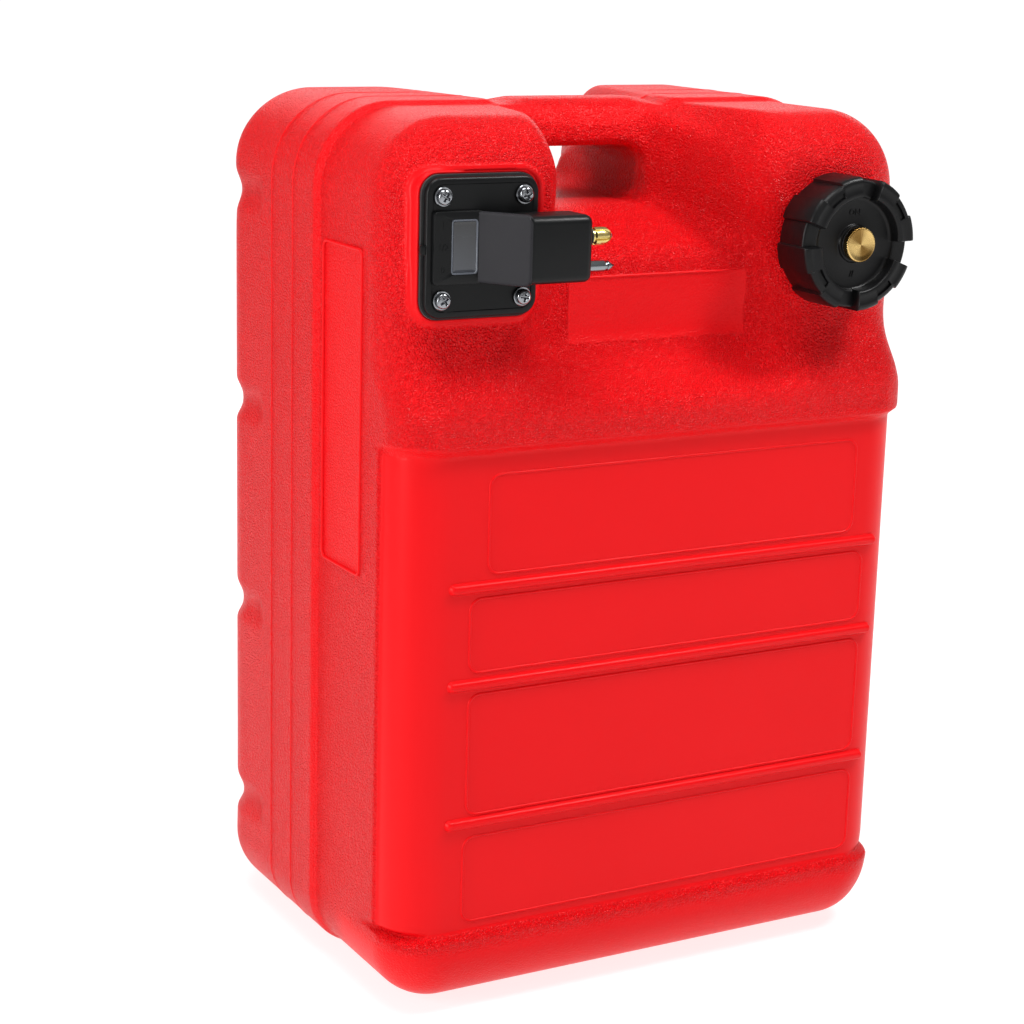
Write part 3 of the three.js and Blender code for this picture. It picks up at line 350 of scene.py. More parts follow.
@dataclass(frozen=True)
class MouldedNylon(Finish):
    """Injection-moulded glass-filled nylon with a fine spark-eroded grain, which breaks up its gloss."""

    grain_mm: float = 0.7
    grain_depth_mm: float = 0.03
    patch_mm: float = 1000 / 55  # width of the patches where the gloss differs
    patch_gloss: float = 0.05
    specular: float = 0.22

    def dress(self, tree: Tree, place: Socket) -> Inputs:
        """Adds the fine grain and a faint unevenness of the gloss.

        Args:
            tree: the material's node tree.
            place: the place on the object.

        Returns:
            What the surface's inputs take.
        """
        values = {"Vector": place, "Scale": 1 / (self.grain_mm * MM), "Detail": 2.0}
        fine = add_node(tree, Kind.NOISE, inputs=values).outputs["Fac"]
        values = {"Height": fine, "Strength": 0.6, "Distance": self.grain_depth_mm * MM}
        normal = add_node(tree, Kind.BUMP, inputs=values).outputs["Normal"]
        values = {"Vector": place, "Scale": 1 / (self.patch_mm * MM), "Detail": 2.0}
        patch = add_node(tree, Kind.NOISE, inputs=values).outputs["Fac"]
        low, high = self.roughness - self.patch_gloss, self.roughness + self.patch_gloss
        rough = add_node(tree, Kind.RANGE, inputs={"Value": patch, "To Min": low, "To Max": high}).outputs[0]
        return {"Normal": normal, "Roughness": rough, "Specular IOR Level": self.specular}


@dataclass(frozen=True)
class TurnedMetal(Finish):
    """Metal turned on a lathe: fine rings about the tool's axis, which draw a fan of light across a face, and on a
    faced end painted fans of highlight and shade.
    """

    ring_mm: float = 0.45
    ring_gloss: tuple[float, float] = (0.05, 0.07)  # how far the roughness falls and rises from ring to ring
    axis: str = "Y"
    fan: float = 0.7
    face: tuple[float, float] | None = None  # (x, z) of the middle of a faced end, about which the painted fans of highlight and shade turn, in millimetres

    def dress(self, tree: Tree, place: Socket) -> Inputs:
        """Adds the turning rings and the stretched highlight, and on a faced end the painted fans of highlight and
        shade.

        Args:
            tree: the material's node tree.
            place: the place on the object.

        Returns:
            What the surface's inputs take.
        """
        tangent = add_node(tree, Kind.TANGENT, {"direction_type": "RADIAL", "axis": self.axis}).outputs[0]
        values = {"Vector": place, "Scale": 1 / (self.ring_mm * MM), "Detail": 3.0}
        streaks = add_node(tree, Kind.NOISE, inputs=values).outputs["Fac"]
        low, high = self.roughness - self.ring_gloss[0], self.roughness + self.ring_gloss[1]
        rough = add_node(tree, Kind.RANGE, inputs={"Value": streaks, "To Min": low, "To Max": high}).outputs[0]
        inputs = {"Anisotropic": self.fan, "Tangent": tangent, "Roughness": rough}
        if self.face:
            inputs["Base Color"] = self.paint_fan_highlight(tree, place)
        return inputs

    def paint_fan_highlight(self, tree: Tree, place: Socket) -> Socket:
        """Paints two bright fans of highlight, with dark shade between them and fine rays across them, into the
        colour of a turned end.

        Args:
            tree: the material's node tree.
            place: the place on the object.

        Returns:
            The colour, with the painted highlight and shade.
        """
        parts = add_node(tree, Kind.SPLIT, inputs={"Vector": place}).outputs
        less = {"operation": "SUBTRACT"}
        x = add_node(tree, Kind.MATHS, less, {0: parts["X"], 1: self.face[0] * MM}).outputs[0]
        z = add_node(tree, Kind.MATHS, less, {0: parts["Z"], 1: self.face[1] * MM}).outputs[0]
        angle = add_node(tree, Kind.MATHS, {"operation": "ARCTAN2"}, {0: z, 1: x}).outputs[0]
        values = {"W": angle, "Scale": 9.0, "Detail": 3.0}
        fan_highlight_rays = add_node(tree, Kind.NOISE, {"noise_dimensions": "1D"}, values).outputs["Fac"]
        values = {0: angle, 1: 2.0, 2: fan_highlight_rays}  # two painted highlight fans to the turn
        turn = add_node(tree, Kind.MATHS, {"operation": "MULTIPLY_ADD"}, values).outputs[0]
        wave = add_node(tree, Kind.MATHS, {"operation": "SINE"}, {0: turn}).outputs[0]
        share = add_node(tree, Kind.RANGE, EASED, {"Value": wave, "From Min": -1.0, "From Max": 1.0}).outputs[0]
        # dark brass for the painted shade between the fans, pale brass for the painted highlight
        values = {0: share, 6: to_linear("#7E5F30"), 7: to_linear("#DDBB78")}
        return add_node(tree, Kind.MIX, {"data_type": "RGBA"}, values).outputs[2]


@dataclass(frozen=True)
class PlatedSteel(Finish):
    """Bright nickel over pressed steel: mirror-like, with faint ripples from the barrel plating."""

    ripple_mm: float = 1000 / 420
    ripple_depth_mm: float = 0.08
    gloss_shares: tuple[float, float] = (0.7, 1.4)

    def dress(self, tree: Tree, place: Socket) -> Inputs:
        """Adds the plating's ripple.

        Args:
            tree: the material's node tree.
            place: the place on the object.

        Returns:
            What the surface's inputs take.
        """
        values = {"Vector": place, "Scale": 1 / (self.ripple_mm * MM), "Detail": 2.0}
        ripple = add_node(tree, Kind.NOISE, inputs=values).outputs["Fac"]
        values = {"Height": ripple, "Strength": 0.25, "Distance": self.ripple_depth_mm * MM}
        normal = add_node(tree, Kind.BUMP, inputs=values).outputs["Normal"]
        low, high = (self.roughness * share for share in self.gloss_shares)
        rough = add_node(tree, Kind.RANGE, inputs={"Value": ripple, "To Min": low, "To Max": high}).outputs[0]
        return {"Normal": normal, "Roughness": rough}


@dataclass(frozen=True)
class MouldedRubber(Finish):
    """Nitrile rubber: dark, with a dusty bloom that lifts its edges."""

    bloom_mm: float = 1000 / 300
    sheen: float = 0.15

    def dress(self, tree: Tree, place: Socket) -> Inputs:
        """Adds the bloom.

        Args:
            tree: the material's node tree.
            place: the place on the object.

        Returns:
            What the surface's inputs take.
        """
        values = {"Vector": place, "Scale": 1 / (self.bloom_mm * MM), "Detail": 4.0}
        bloom = add_node(tree, Kind.NOISE, inputs=values).outputs["Fac"]
        values = {0: bloom, 6: to_linear("#0E0E0F"), 7: to_linear("#232324")}
        colour = add_node(tree, Kind.MIX, {"data_type": "RGBA"}, values).outputs[2]
        return {"Base Color": colour, "Sheen Weight": self.sheen}


@dataclass(frozen=True)
class SmokedAcrylic(Finish):
    """A polished smoked window: near-black through it, with a clear gloss over it."""

    foot: float = 0.421  # heights between which the painted reflection at its foot gives way to dark, in metres
    head: float = 0.446
    coat: float = 0.5
    coat_roughness: float = 0.03

    def dress(self, tree: Tree, place: Socket) -> Inputs:
        """Paints a pale reflection that lightens the window towards its foot.

        Args:
            tree: the material's node tree.
            place: the place on the object.

        Returns:
            What the surface's inputs take.
        """
        height = add_node(tree, Kind.SPLIT, inputs={"Vector": place}).outputs["Z"]
        values = {"Value": height, "From Min": self.foot, "From Max": self.head}
        share = add_node(tree, Kind.RANGE, inputs=values).outputs[0]
        # pale grey at the foot is a painted reflection, near-black above it
        values = {0: share, 6: to_linear("#3B3E45"), 7: to_linear("#17181B")}
        colour = add_node(tree, Kind.MIX, {"data_type": "RGBA"}, values).outputs[2]
        return {"Base Color": colour, "Coat Weight": self.coat, "Coat Roughness": self.coat_roughness}


@dataclass(frozen=True)
class LitPaper(Finish):
    """White paper lit from below, so that it stays pale to the horizon, and less to the left of the tank."""

    across: Point = (-0.957, 0.289, 0.0)  # the way in which its light falls off
    glow_reach: tuple[float, float] = (0.3, 2.2)  # distances between which it grows, in metres
    glow: tuple[float, float] = (0.8, 0.95)
    fall_reach: tuple[float, float] = (0.36, 0.9)  # distances across between which it falls off, in metres
    fall: tuple[float, float] = (1.0, 0.5)

    def dress(self, tree: Tree, place: Socket) -> Inputs:
        """Adds the light from below.

        Args:
            tree: the material's node tree.
            place: the place on the object.

        Returns:
            What the surface's inputs take.
        """
        ends = ("From Min", "From Max", "To Min", "To Max")
        distance = add_node(tree, Kind.VECTOR_MATHS, {"operation": "LENGTH"}, {0: place}).outputs["Value"]
        values = {"Value": distance, **dict(zip(ends, self.glow_reach + self.glow))}
        glow = add_node(tree, Kind.RANGE, EASED, values).outputs[0]
        values = {0: place, 1: self.across}
        reach = add_node(tree, Kind.VECTOR_MATHS, {"operation": "DOT_PRODUCT"}, values).outputs["Value"]
        values = {"Value": reach, **dict(zip(ends, self.fall_reach + self.fall))}
        fall = add_node(tree, Kind.RANGE, EASED, values).outputs[0]
        strength = add_node(tree, Kind.MATHS, {"operation": "MULTIPLY"}, {0: glow, 1: fall}).outputs[0]
        return {"Emission Color": (1.0, 1.0, 1.0, 1.0), "Emission Strength": strength}


TANK_RED = PebbledPolyethylene("blow_moulded_polyethylene_red", "#E50D15", 0.36)
BLACK_NYLON = MouldedNylon("moulded_nylon_black", "#08090A", 0.38)
GREY_NYLON = MouldedNylon("moulded_nylon_charcoal", "#222125", 0.55, grain_mm=0.9, grain_depth_mm=0.05)
BEZEL = MouldedNylon("polished_nylon_bezel", "#5C6068", 0.16, grain_depth_mm=0.005)
CAP_NYLON = MouldedNylon("moulded_nylon_cap", "#0C0C0D", 0.36)
WHITE_ACETAL = MouldedNylon("moulded_acetal_white", "#DCDAD0", 0.4)
# on the vent knob's faced end, fans of painted highlight and shade turn about this (x, z)
TURNED_BRASS = TurnedMetal("turned_brass", "#D9AE55", 0.26, 1.0, face=(110.2, 427.7))
NIPPLE_BRASS = TurnedMetal("turned_brass_nipple", "#D8C27A", 0.24, 1.0, axis="X", fan=0.4)
DRAWN_STEEL = TurnedMetal("drawn_stainless_steel", "#8F9397", 0.15, 1.0, axis="X", fan=0.4)
WIRE_STEEL = TurnedMetal("stainless_wire", "#B9BCC0", 0.3, 1.0, axis="Z", fan=0.4)
NICKEL = PlatedSteel("nickel_plated_steel", "#94969A", 0.17, 1.0)
NITRILE = MouldedRubber("nitrile_rubber", "#161617", 0.75)
SMOKED = SmokedAcrylic("smoked_acrylic", "#303338", 0.12)
LIT_PAPER = LitPaper("lit_white_paper", "#9C9C9C", 0.9)


# Meshes


@dataclass
class Skin:
    """Vertices and faces gathered for one mesh, in millimetres in the tank's frame."""

    points: list[Point] = field(default_factory=list)
    faces: list[tuple[int, ...]] = field(default_factory=list)

    def rings(self, rings: Sequence[Sequence[Point]], closed: bool = False) -> "Skin":
        """Joins rings of equal count with quads.

        Args:
            rings: closed rings of points, in order.
            closed: whether the last ring joins the first; otherwise both ends are capped.

        Returns:
            This skin.
        """
        base, count = len(self.points), len(rings[0])
        for ring in rings:
            self.points.extend(tuple(p) for p in ring)
        total = len(rings)
        for k in range(total if closed else total - 1):
            a, b = base + k * count, base + ((k + 1) % total) * count
            for i in range(count):
                j = (i + 1) % count
                self.faces.append((a + i, a + j, b + j, b + i))
        if not closed:
            self.faces.append(tuple(range(base + count - 1, base - 1, -1)))
            last = base + (total - 1) * count
            self.faces.append(tuple(range(last, last + count)))
        return self


def rounded_outline(
    half_x: float, half_z: float, radius: float, centre: tuple[float, float], steps: int = 6
) -> list[tuple[float, float]]:
    """Points round a rounded rectangle, the same count for every size.

    Args:
        half_x: half its width.
        half_z: half its height.
        radius: its corners' radius.
        centre: its middle.
        steps: segments in each corner.

    Returns:
        The points, anticlockwise.
    """
    radius = max(min(radius, half_x - 1e-4, half_z - 1e-4), 1e-4)
    points = []
    for quarter, (sx, sz) in enumerate(((1, -1), (1, 1), (-1, 1), (-1, -1))):
        for k in range(steps + 1):
            angle = math.radians(90 * (quarter - 1) + 90 * k / steps)
            x = centre[0] + sx * (half_x - radius) + radius * math.cos(angle)
            z = centre[1] + sz * (half_z - radius) + radius * math.sin(angle)
            points.append((x, z))
    return points


def place_mesh(
    name: str,
    skin: Skin,
    finish: Finish,
    body: Body,
    slot: Slot,
    replaces: Sequence[str] = (),
    sharp: float = 38.0,
    shape: Callable[[bmesh.types.BMesh], None] | None = None,
) -> bpy.types.Object:
    """Makes an object from a skin, in the row frame, and ties it to its body.

    Args:
        name: the piece's name.
        skin: its points and faces.
        finish: its finish.
        body: the body it rides on.
        slot: the record's material slot; not used.
        replaces: the CAD nodes it stands for.
        sharp: edges that turn more than this many degrees stay sharp.
        shape: a last change to the mesh, such as rounding its edges.

    Returns:
        The object.
    """
    mesh = bpy.data.meshes.new(name)
    points = [(x * MM, (y + ROW_SHIFT) * MM, z * MM) for x, y, z in skin.points]
    mesh.from_pydata(points, [], skin.faces)
    work = bmesh.new()
    work.from_mesh(mesh)
    bmesh.ops.remove_doubles(work, verts=work.verts, dist=1e-7)
    bmesh.ops.dissolve_degenerate(work, edges=work.edges, dist=1e-7)
    bmesh.ops.recalc_face_normals(work, faces=work.faces)
    if shape:
        shape(work)
    work.to_mesh(mesh)
    work.free()
    mesh.shade_smooth()
    mesh.set_sharp_from_angle(angle=math.radians(sharp))
    mesh.materials.append(finish.build())
    made = bpy.data.objects.new(name, mesh)
    bpy.context.scene.collection.objects.link(made)
    return tie(made, body, replaces)


def tie(
    made: bpy.types.Object, body: Body, replaces: Sequence[str] = ()
) -> bpy.types.Object:
    """Ties a piece to its body and CAD nodes, and reports it.

    Args:
        made: the piece.
        body: the body that it rides on.
        replaces: the CAD nodes that it stands in for.

    Returns:
        The piece.
    """
    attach(made, body.value)
    if replaces:
        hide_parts(*replaces)
    log.info("piece %s on %s, %d faces", made.name, body.value, len(made.data.polygons))
    return made


def rounding(offset_mm: float, segments: int = 3, over: float = 30.0) -> Callable[[bmesh.types.BMesh], None]:
    """Returns a function that rounds every edge sharper than an angle.

    Args:
        offset_mm: width of the rounding.
        segments: steps across it.
        over: least angle between faces, in degrees.

    Returns:
        The function.
    """

    def shape(work: bmesh.types.BMesh) -> None:
        """Rounds the mesh's sharp edges.

        Args:
            work: the mesh to round.
        """
        edges = [e for e in work.edges if len(e.link_faces) == 2 and e.calc_face_angle() > math.radians(over)]
        bmesh.ops.bevel(
            work, geom=edges, offset=offset_mm * MM, segments=segments, profile=0.5, affect="EDGES"
        )

    return shape


def prism(outline: Sequence[tuple[float, float]], low: float, high: float) -> Skin:
    """A prism along Z from an outline of (x, y) points."""
    return Skin().rings([[(x, y, z) for x, y in outline] for z in (low, high)])


def plate_loft(rows: Sequence[tuple[float, float, float, float, tuple[float, float]]], steps: int = 6) -> Skin:
    """A loft of rounded rectangles along Y.

    Args:
        rows: for each, its y, half width, half height, corner radius and centre.
        steps: segments in each corner.

    Returns:
        The closed skin.
    """
    rings = []
    for y, half_x, half_z, radius, centre in rows:
        rings.append([(x, y, z) for x, z in rounded_outline(half_x, half_z, radius, centre, steps)])
    return Skin().rings(rings)


def round_point(centre: tuple[float, float], radius: float, angle: float, ahead: float) -> Point:
    """A point on a circle about an axis along Y, some way ahead of the block face."""
    return (centre[0] + radius * math.cos(angle), -BLOCK_DEPTH - ahead, centre[1] + radius * math.sin(angle))


def turned(
    profile: Profile,
    axis: str,
    centre: tuple[float, float],
    segments: int = 64,
    closed: bool = False,
    swell: Callable[[float, int], float] | None = None,
) -> Skin:
    """A turned solid.

    Args:
        profile: (radius, distance) points; the distance is x along X, or ahead of the block face along Y.
        axis: "X" or "Y".
        centre: (y, z) of an X axis, or (x, z) of a Y axis.
        segments: steps round the axis.
        closed: whether the profile closes on itself, as on a ring.
        swell: a change to the radius, from the angle in degrees and the profile point's number.

    Returns:
        The skin.
    """
    rings = []
    for k, (radius, distance) in enumerate(profile):
        ring = []
        for i in range(segments):
            degrees = 360 * i / segments
            r = max(radius, 1e-4) + (swell(degrees, k) if swell else 0.0)
            angle = math.radians(degrees)
            if axis == "X":
                ring.append((distance, centre[0] + r * math.cos(angle), centre[1] + r * math.sin(angle)))
            else:
                ring.append(round_point(centre, r, angle, distance))
        rings.append(ring)
    return Skin().rings(rings, closed=closed)


def thread(centre: tuple[float, float], root: float, crest: float, start: float) -> Skin:
    """A thread of one right-hand start about an axis along Y, run out at both ends.

    Args:
        centre: (x, z) of its axis.
        root: radius at its foot.
        crest: radius at its crest.
        start: distance of its first end ahead of the block face.

    Returns:
        The skin.
    """
    turns, pitch, steps, run_out = 1.25, 6.0, 90, 6
    rings = []
    for k in range(steps + 1):
        turn = turns * k / steps
        tip = mix(root, crest, min(1.0, min(k, steps - k) / run_out))
        section = ((root, -1.3), (tip, -0.7), (tip, 0.7), (root, 1.3))
        middle, angle = start + pitch * turn, 2 * math.pi * turn
        rings.append([round_point(centre, radius, angle, middle + ahead) for radius, ahead in section])
    return Skin().rings(rings)


# The tank


@dataclass
class TankBody:
    """The blow-moulded tank: its skin from a distance field, with raised bars, frames and the neck.

    Depths are measured ahead of or behind the mid-plane, and a pair of heights or places is where a form
    starts to change and where it has changed.
    """

    height: float = 501.7
    half_width: float = 170.7
    depth: float = 125.0
    bulge: float = 5.5
    ledge: float = 47.5
    label_top: float = 321.5
    shoulder_top: float = 344.0
    panel_start: float = 371.0
    neck_start: float = 382.0
    block_start: float = 404.0
    pocket_rise: tuple[float, float] = (424.0, 447.0)
    bar_rise: tuple[float, float] = (467.0, 475.0)
    neck_depth: float = 110.0
    panel_depth: float = 92.0
    pocket_depth: float = 32.0
    back_pocket_depth: float = 80.0
    bar_front: float = 22.0
    bar_back: float = 26.0
    left_flank: Box = (60.0, 38.0, 80.0, 70.5)  # the block's foot and face, each low and high
    right_flank: Box = (62.0, 43.0, 88.0, 67.0)
    flank_rise: tuple[float, float] = (425.0, 447.0)
    back_flank: tuple[float, float] = (44.0, 66.0)
    fan_out: float = 18.0
    fan_rise: tuple[float, float] = (360.0, 412.0)
    plan_radius: float = 28.0
    back_plan_radius: float = 38.0
    block_radius: float = 34.0
    bottom_radius: float = 36.0
    bar_radius: float = 19.0
    block_rise: tuple[float, float] = (400.0, 440.0)
    back_block_rise: tuple[float, float] = (440.0, 480.0)
    bar_edge_rise: tuple[float, float] = (455.0, 475.0)
    base_fall: tuple[float, float] = (60.0, 20.0)
    outline_top: float = 48.0
    outline_bottom: float = 38.0
    wall: float = 7.0
    set_in: float = 2.5
    label_inset: float = 2.4
    label_reach: tuple[float, float] = (-99.5, -96.0)
    softness: float = 8.0
    soft_rise: tuple[float, float] = (326.0, 352.0)
    hole_ends: tuple[float, float] = (-40.0, 37.5)
    hole_bottom: float = 443.0
    hole_top: float = 474.5
    hole_radius: float = 12.0
    hole_rim: float = 7.0
    groove_heights: tuple[float, ...] = (64.0, 190.0, 316.0, 442.0)
    groove_half: float = 7.0
    groove_depth: float = 3.0
    groove_start: float = 59.0
    groove_ease: float = 6.5
    groove_run: float = 200.0  # longer than the tank is deep
    bar_heights: tuple[float, ...] = (113.0, 193.5, 248.5)
    bar_ends: tuple[float, float] = (-138.0, 147.5)
    bar_half: float = 3.0
    frames: tuple[Box, ...] = (
        (-126.5, 140.0, 54.0, 104.5),
        (-125.0, 139.5, 117.5, 187.5),
        (-125.0, 138.5, 200.0, 242.0),
        (-114.5, 130.0, 255.0, 310.5),
    )
    capacity_frame: Box = (-50.0, 66.0, 373.0, 409.0)
    strip: Box = (-74.5, -25.0, 247.0, 427.0)
    strip_sunk: float = 0.8
    step: tuple[float, float] = (-21.0, -16.0)
    seat: tuple[float, float, float, float, float] = (-118.8, 432.4, 36.4, 40.1, 12.0)
    seat_face: float = 112.0
    seat_half: float = 8.0  # half the depth of the block behind the seat's face
    opening_radius: float = 25.0
    bore_reach: float = 90.0  # depth of the openings' inner ends
    neck: tuple[float, float] = (110.2, 427.7)
    neck_core: float = 28.6
    neck_bore: float = 24.5
    neck_middle: float = 119.0
    neck_half: float = 10.5
    line_gaps: tuple[tuple[str, float, float], ...] = (("parting_line", 12.0, 0.0), ("mould_line", 41.5, 76.0))
    grid_front: float = 134.0  # a little ahead of all that the distance field makes
    voxel: float = 1.5
    quick_voxel: float = 2.5

    def front(self, x: Array, z: Array) -> Array:
        """Depth of the front face ahead of the mid-plane.

        Args:
            x: places across.
            z: heights.

        Returns:
            The depth at each place.
        """
        over_ledge = smooth(z, self.ledge - 2.5, self.ledge + 1.5)
        over_label = smooth(z, self.label_top - 1.0, self.label_top + 6.0)
        low = self.depth + self.bulge * (1 - over_ledge + over_label)
        neck = mix(low, self.neck_depth, smooth(z, self.shoulder_top, self.neck_start))
        block = mix(neck, BLOCK_DEPTH, smooth(z, self.neck_start, self.block_start))
        panel = mix(low, self.panel_depth, smooth(z, self.shoulder_top, self.panel_start))
        pocket = mix(panel, self.pocket_depth, smooth(z, *self.pocket_rise))
        recess = mix(pocket, self.bar_front, smooth(z, *self.bar_rise))
        return mix(recess, block, self.front_share(x, z))

    def front_share(self, x: Array, z: Array) -> Array:
        """How far a place is from the recess (0) to a block (1).

        Args:
            x: places across.
            z: heights.

        Returns:
            The share at each place.
        """
        rise = smooth(z, *self.flank_rise)
        fan = self.fan_out * (1 - smooth(z, *self.fan_rise))
        left, right = self.left_flank, self.right_flank
        inner = np.where(x < 0, mix(left[0], left[1], rise), mix(right[0], right[1], rise))
        outer = fan + np.where(x < 0, mix(left[2], left[3], rise), mix(right[2], right[3], rise))
        return smooth(np.abs(x), inner, outer)

    def back(self, x: Array, z: Array) -> Array:
        """Depth of the back face behind the mid-plane.

        Args:
            x: places across.
            z: heights.

        Returns:
            The depth at each place.
        """
        pocket = mix(self.depth, self.back_pocket_depth, smooth(z, *self.pocket_rise))
        recess = mix(pocket, self.bar_back, smooth(z, *self.bar_rise))
        share = smooth(np.abs(x), *self.back_flank)
        return mix(recess, self.depth, share) - self.groove_depth * self.grooves(self.depth, z)

    def grooves(self, y: Array | float, z: Array) -> Array:
        """1 in the grooves that run round the back, 0 outside them, with rounded ends on the sides.

        Args:
            y: places to the back.
            z: heights.

        Returns:
            The share at each place.
        """
        total = np.zeros(np.broadcast(y, z).shape)
        half, run = self.groove_half, self.groove_run
        for height in self.groove_heights:
            near = rounded_box(y - self.groove_start - run, z - height, run, half, half - 1)
            total = total + 1 - smooth(near, -self.groove_ease, self.groove_ease)
        return total

    def side_inset(self, y: Array, z: Array) -> Array:
        """How far the sides, top and underside lie inside the overall outline.

        Args:
            y: places to the back.
            z: heights.

        Returns:
            The inset at each place.
        """
        over_ledge = smooth(z, self.ledge - 2.5, self.ledge + 1.5)
        label = over_ledge * (1 - smooth(z, self.label_top - 1.5, self.label_top + 2.5))
        start, end = self.step
        inset = self.set_in * np.clip((end - y) / (end - start), 0.0, 1.0)
        inset = inset + self.label_inset * label * (1 - smooth(y, *self.label_reach))
        return inset + self.groove_depth * self.grooves(y, z)

    def edge(self, z: Array, plan: float, rise: tuple[float, float], share: Array) -> Array:
        """Radius of the upright edges between a face and the sides.

        Args:
            z: heights.
            plan: the radius at mid-height.
            rise: where it changes to the blocks' radius.
            share: 1 on the blocks, 0 between them, where the handle bar has its own radius.

        Returns:
            The radius at each place.
        """
        upper = mix(plan, self.block_radius, smooth(z, *rise))
        barred = mix(upper, self.bar_radius, (1 - share) * smooth(z, *self.bar_edge_rise))
        return mix(barred, self.bottom_radius, smooth(z, *self.base_fall))

    def field(self, x: Array, y: Array, z: Array) -> Array:
        """Distances to the tank's solid on a grid, negative inside.

        Args:
            x: the grid's x values.
            y: its y values.
            z: its z values.

        Returns:
            The three-dimensional field.
        """
        gx, gz = np.meshgrid(x, z, indexing="ij")
        step = self.voxel

        def faced(depth: Array) -> tuple[Array, Array]:
            """Softens the upper part of a face.

            Args:
                depth: a face's depth at each place.

            Returns:
                The softened depth, and how much its slope stretches distances.
            """
            depth = mix(depth, soften(depth, self.softness, step), smooth(gz, *self.soft_rise))
            dx, dz = np.gradient(depth, step)
            return depth, np.sqrt(1 + dx * dx + dz * dz)

        middle = self.height / 2
        corner = np.where(gz > middle, self.outline_top, self.outline_bottom)
        outline = rounded_box(gx, gz - middle, self.half_width, middle, corner)
        inset = self.side_inset(*np.meshgrid(y, z, indexing="ij"))
        sx, sy, sz = x[:, None, None], y[None, :, None], z[None, None, :]
        side = outline[:, None, :] + inset[None, :, :]
        y0, y1, z0, z1 = self.strip
        side = side + self.strip_sunk * (sx < 0) * window(sy, y0, y1, 1.5) * window(sz, z0, z1, 1.5)

        front, slope = faced(self.front(gx, gz))
        ahead = (-sy - front[:, None, :]) / slope[:, None, :]
        edge = self.edge(gz, self.plan_radius, self.block_rise, self.front_share(gx, gz))
        body = round_meet(side, ahead, edge[:, None, :])
        back, slope = faced(self.back(gx, gz))
        behind = (sy - back[:, None, :]) / slope[:, None, :]
        share = smooth(np.abs(gx), *self.back_flank)
        edge = self.edge(gz, self.back_plan_radius, self.back_block_rise, share)
        body = round_meet(body, behind, edge[:, None, :])

        # Hand hole with a rounded rim
        hole_middle = (self.hole_bottom + self.hole_top) / 2
        hole_half = (self.hole_top - self.hole_bottom) / 2
        left, right = self.hole_ends
        across = gx - (left + right) / 2
        hole = rounded_box(across, gz - hole_middle, (right - left) / 2, hole_half, self.hole_radius)
        body = round_meet(body, -hole[:, None, :], self.hole_rim)

        # Seat of the gauge head
        cx, cz, hx, hz, radius = self.seat
        seat = rounded_box(gx - cx, gz - cz, hx, hz, radius)[:, None, :]
        behind_face = np.abs(sy + self.seat_face - self.seat_half) - self.seat_half
        body = np.minimum(body, np.maximum(seat, behind_face))
        body = np.maximum(body, -np.maximum(seat, sy + self.seat_face))

        # Hollow, gauge opening and filler bore
        shell = np.maximum(body, -(body + self.wall))
        opening = (np.hypot(gx - cx, gz - cz) - self.opening_radius)[:, None, :]
        shell = np.maximum(shell, -np.maximum(opening, sy + self.bore_reach))
        away = np.hypot(gx - self.neck[0], gz - self.neck[1])[:, None, :]
        neck = np.maximum(away - self.neck_core, np.abs(sy + self.neck_middle) - self.neck_half)
        shell = np.minimum(shell, neck)
        return np.maximum(shell, -np.maximum(away - self.neck_bore, sy + self.bore_reach))

    def grain(self, points: Array) -> Array:
        """How strongly the etched grain shows at each point, 0 on the satin panels.

        Args:
            points: places in the tank's frame.

        Returns:
            A value from 0 to 1 for each.
        """
        x, y, z = points.T
        ease = 0.8  # how far the etching takes to stop at a moulded line
        label = window(z, self.ledge + 1.0, self.label_top - 0.5, 1.5) * (1 - smooth(y, -98.5, -97.0))
        left, right, low, high = self.capacity_frame
        panel = window(x, left, right, ease) * window(z, low, high, ease) * smooth(-y, 85, 88) * 0.8
        y0, y1, z0, z1 = self.strip
        strip = window(y, y0, y1, ease) * window(z, z0, z1, ease) * (x < 0) * 0.6
        cx, cz, hx, hz, radius = self.seat
        seat = 1 - smooth(rounded_box(x - cx, z - cz, hx, hz, radius), 2.0, 4.0)
        seat = seat * smooth(-y, 90, 100)
        base = (1 - smooth(z, 36, 45)) * (1 - smooth(y, -60, -40)) * 0.85
        belt = window(y, *self.step, 1.0) * 0.5
        under = window(z, self.label_top - 1, self.label_top + 5, 3.0) * (1 - smooth(y, -110, -90)) * 0.8
        return 1 - np.max([label, panel, strip, seat, base, belt, under], axis=0)

    def build_shell(self) -> bpy.types.Object:
        """Makes the tank's skin from its distance field.

        Returns:
            The skin's object.
        """
        step = self.voxel
        margin = 3 * step
        x = np.arange(-self.half_width - margin, self.half_width + margin + step, step)
        y = np.arange(-self.grid_front - margin, self.depth + margin + step, step)
        z = np.arange(-margin, self.height + margin + step, step)
        values = np.clip(self.field(x, y, z), -4 * step, 4 * step).astype(np.float32)
        grid = openvdb.FloatGrid(4 * step)
        grid.copyFromArray(values)
        grid.transform = openvdb.createLinearTransform(voxelSize=step)
        points, quads = grid.convertToQuads(isovalue=0.0)
        points = np.asarray(points, float) + np.array([x[0], y[0], z[0]])
        points[:, 2] = np.maximum(points[:, 2], 0.0)
        mesh = bpy.data.meshes.new("tank_body")
        row = (points + np.array([0.0, ROW_SHIFT, 0.0])) * MM
        mesh.from_pydata(row.tolist(), [], [tuple(q)[::-1] for q in quads.tolist()])
        grain = mesh.attributes.new("grain", "FLOAT", "POINT")
        grain.data.foreach_set("value", self.grain(points).astype(np.float32))
        mesh.shade_smooth()
        mesh.materials.append(TANK_RED.build())
        made = bpy.data.objects.new("tank_body", mesh)
        bpy.context.scene.collection.objects.link(made)
        return tie(made, Body.TANK, ["tank_shell"])

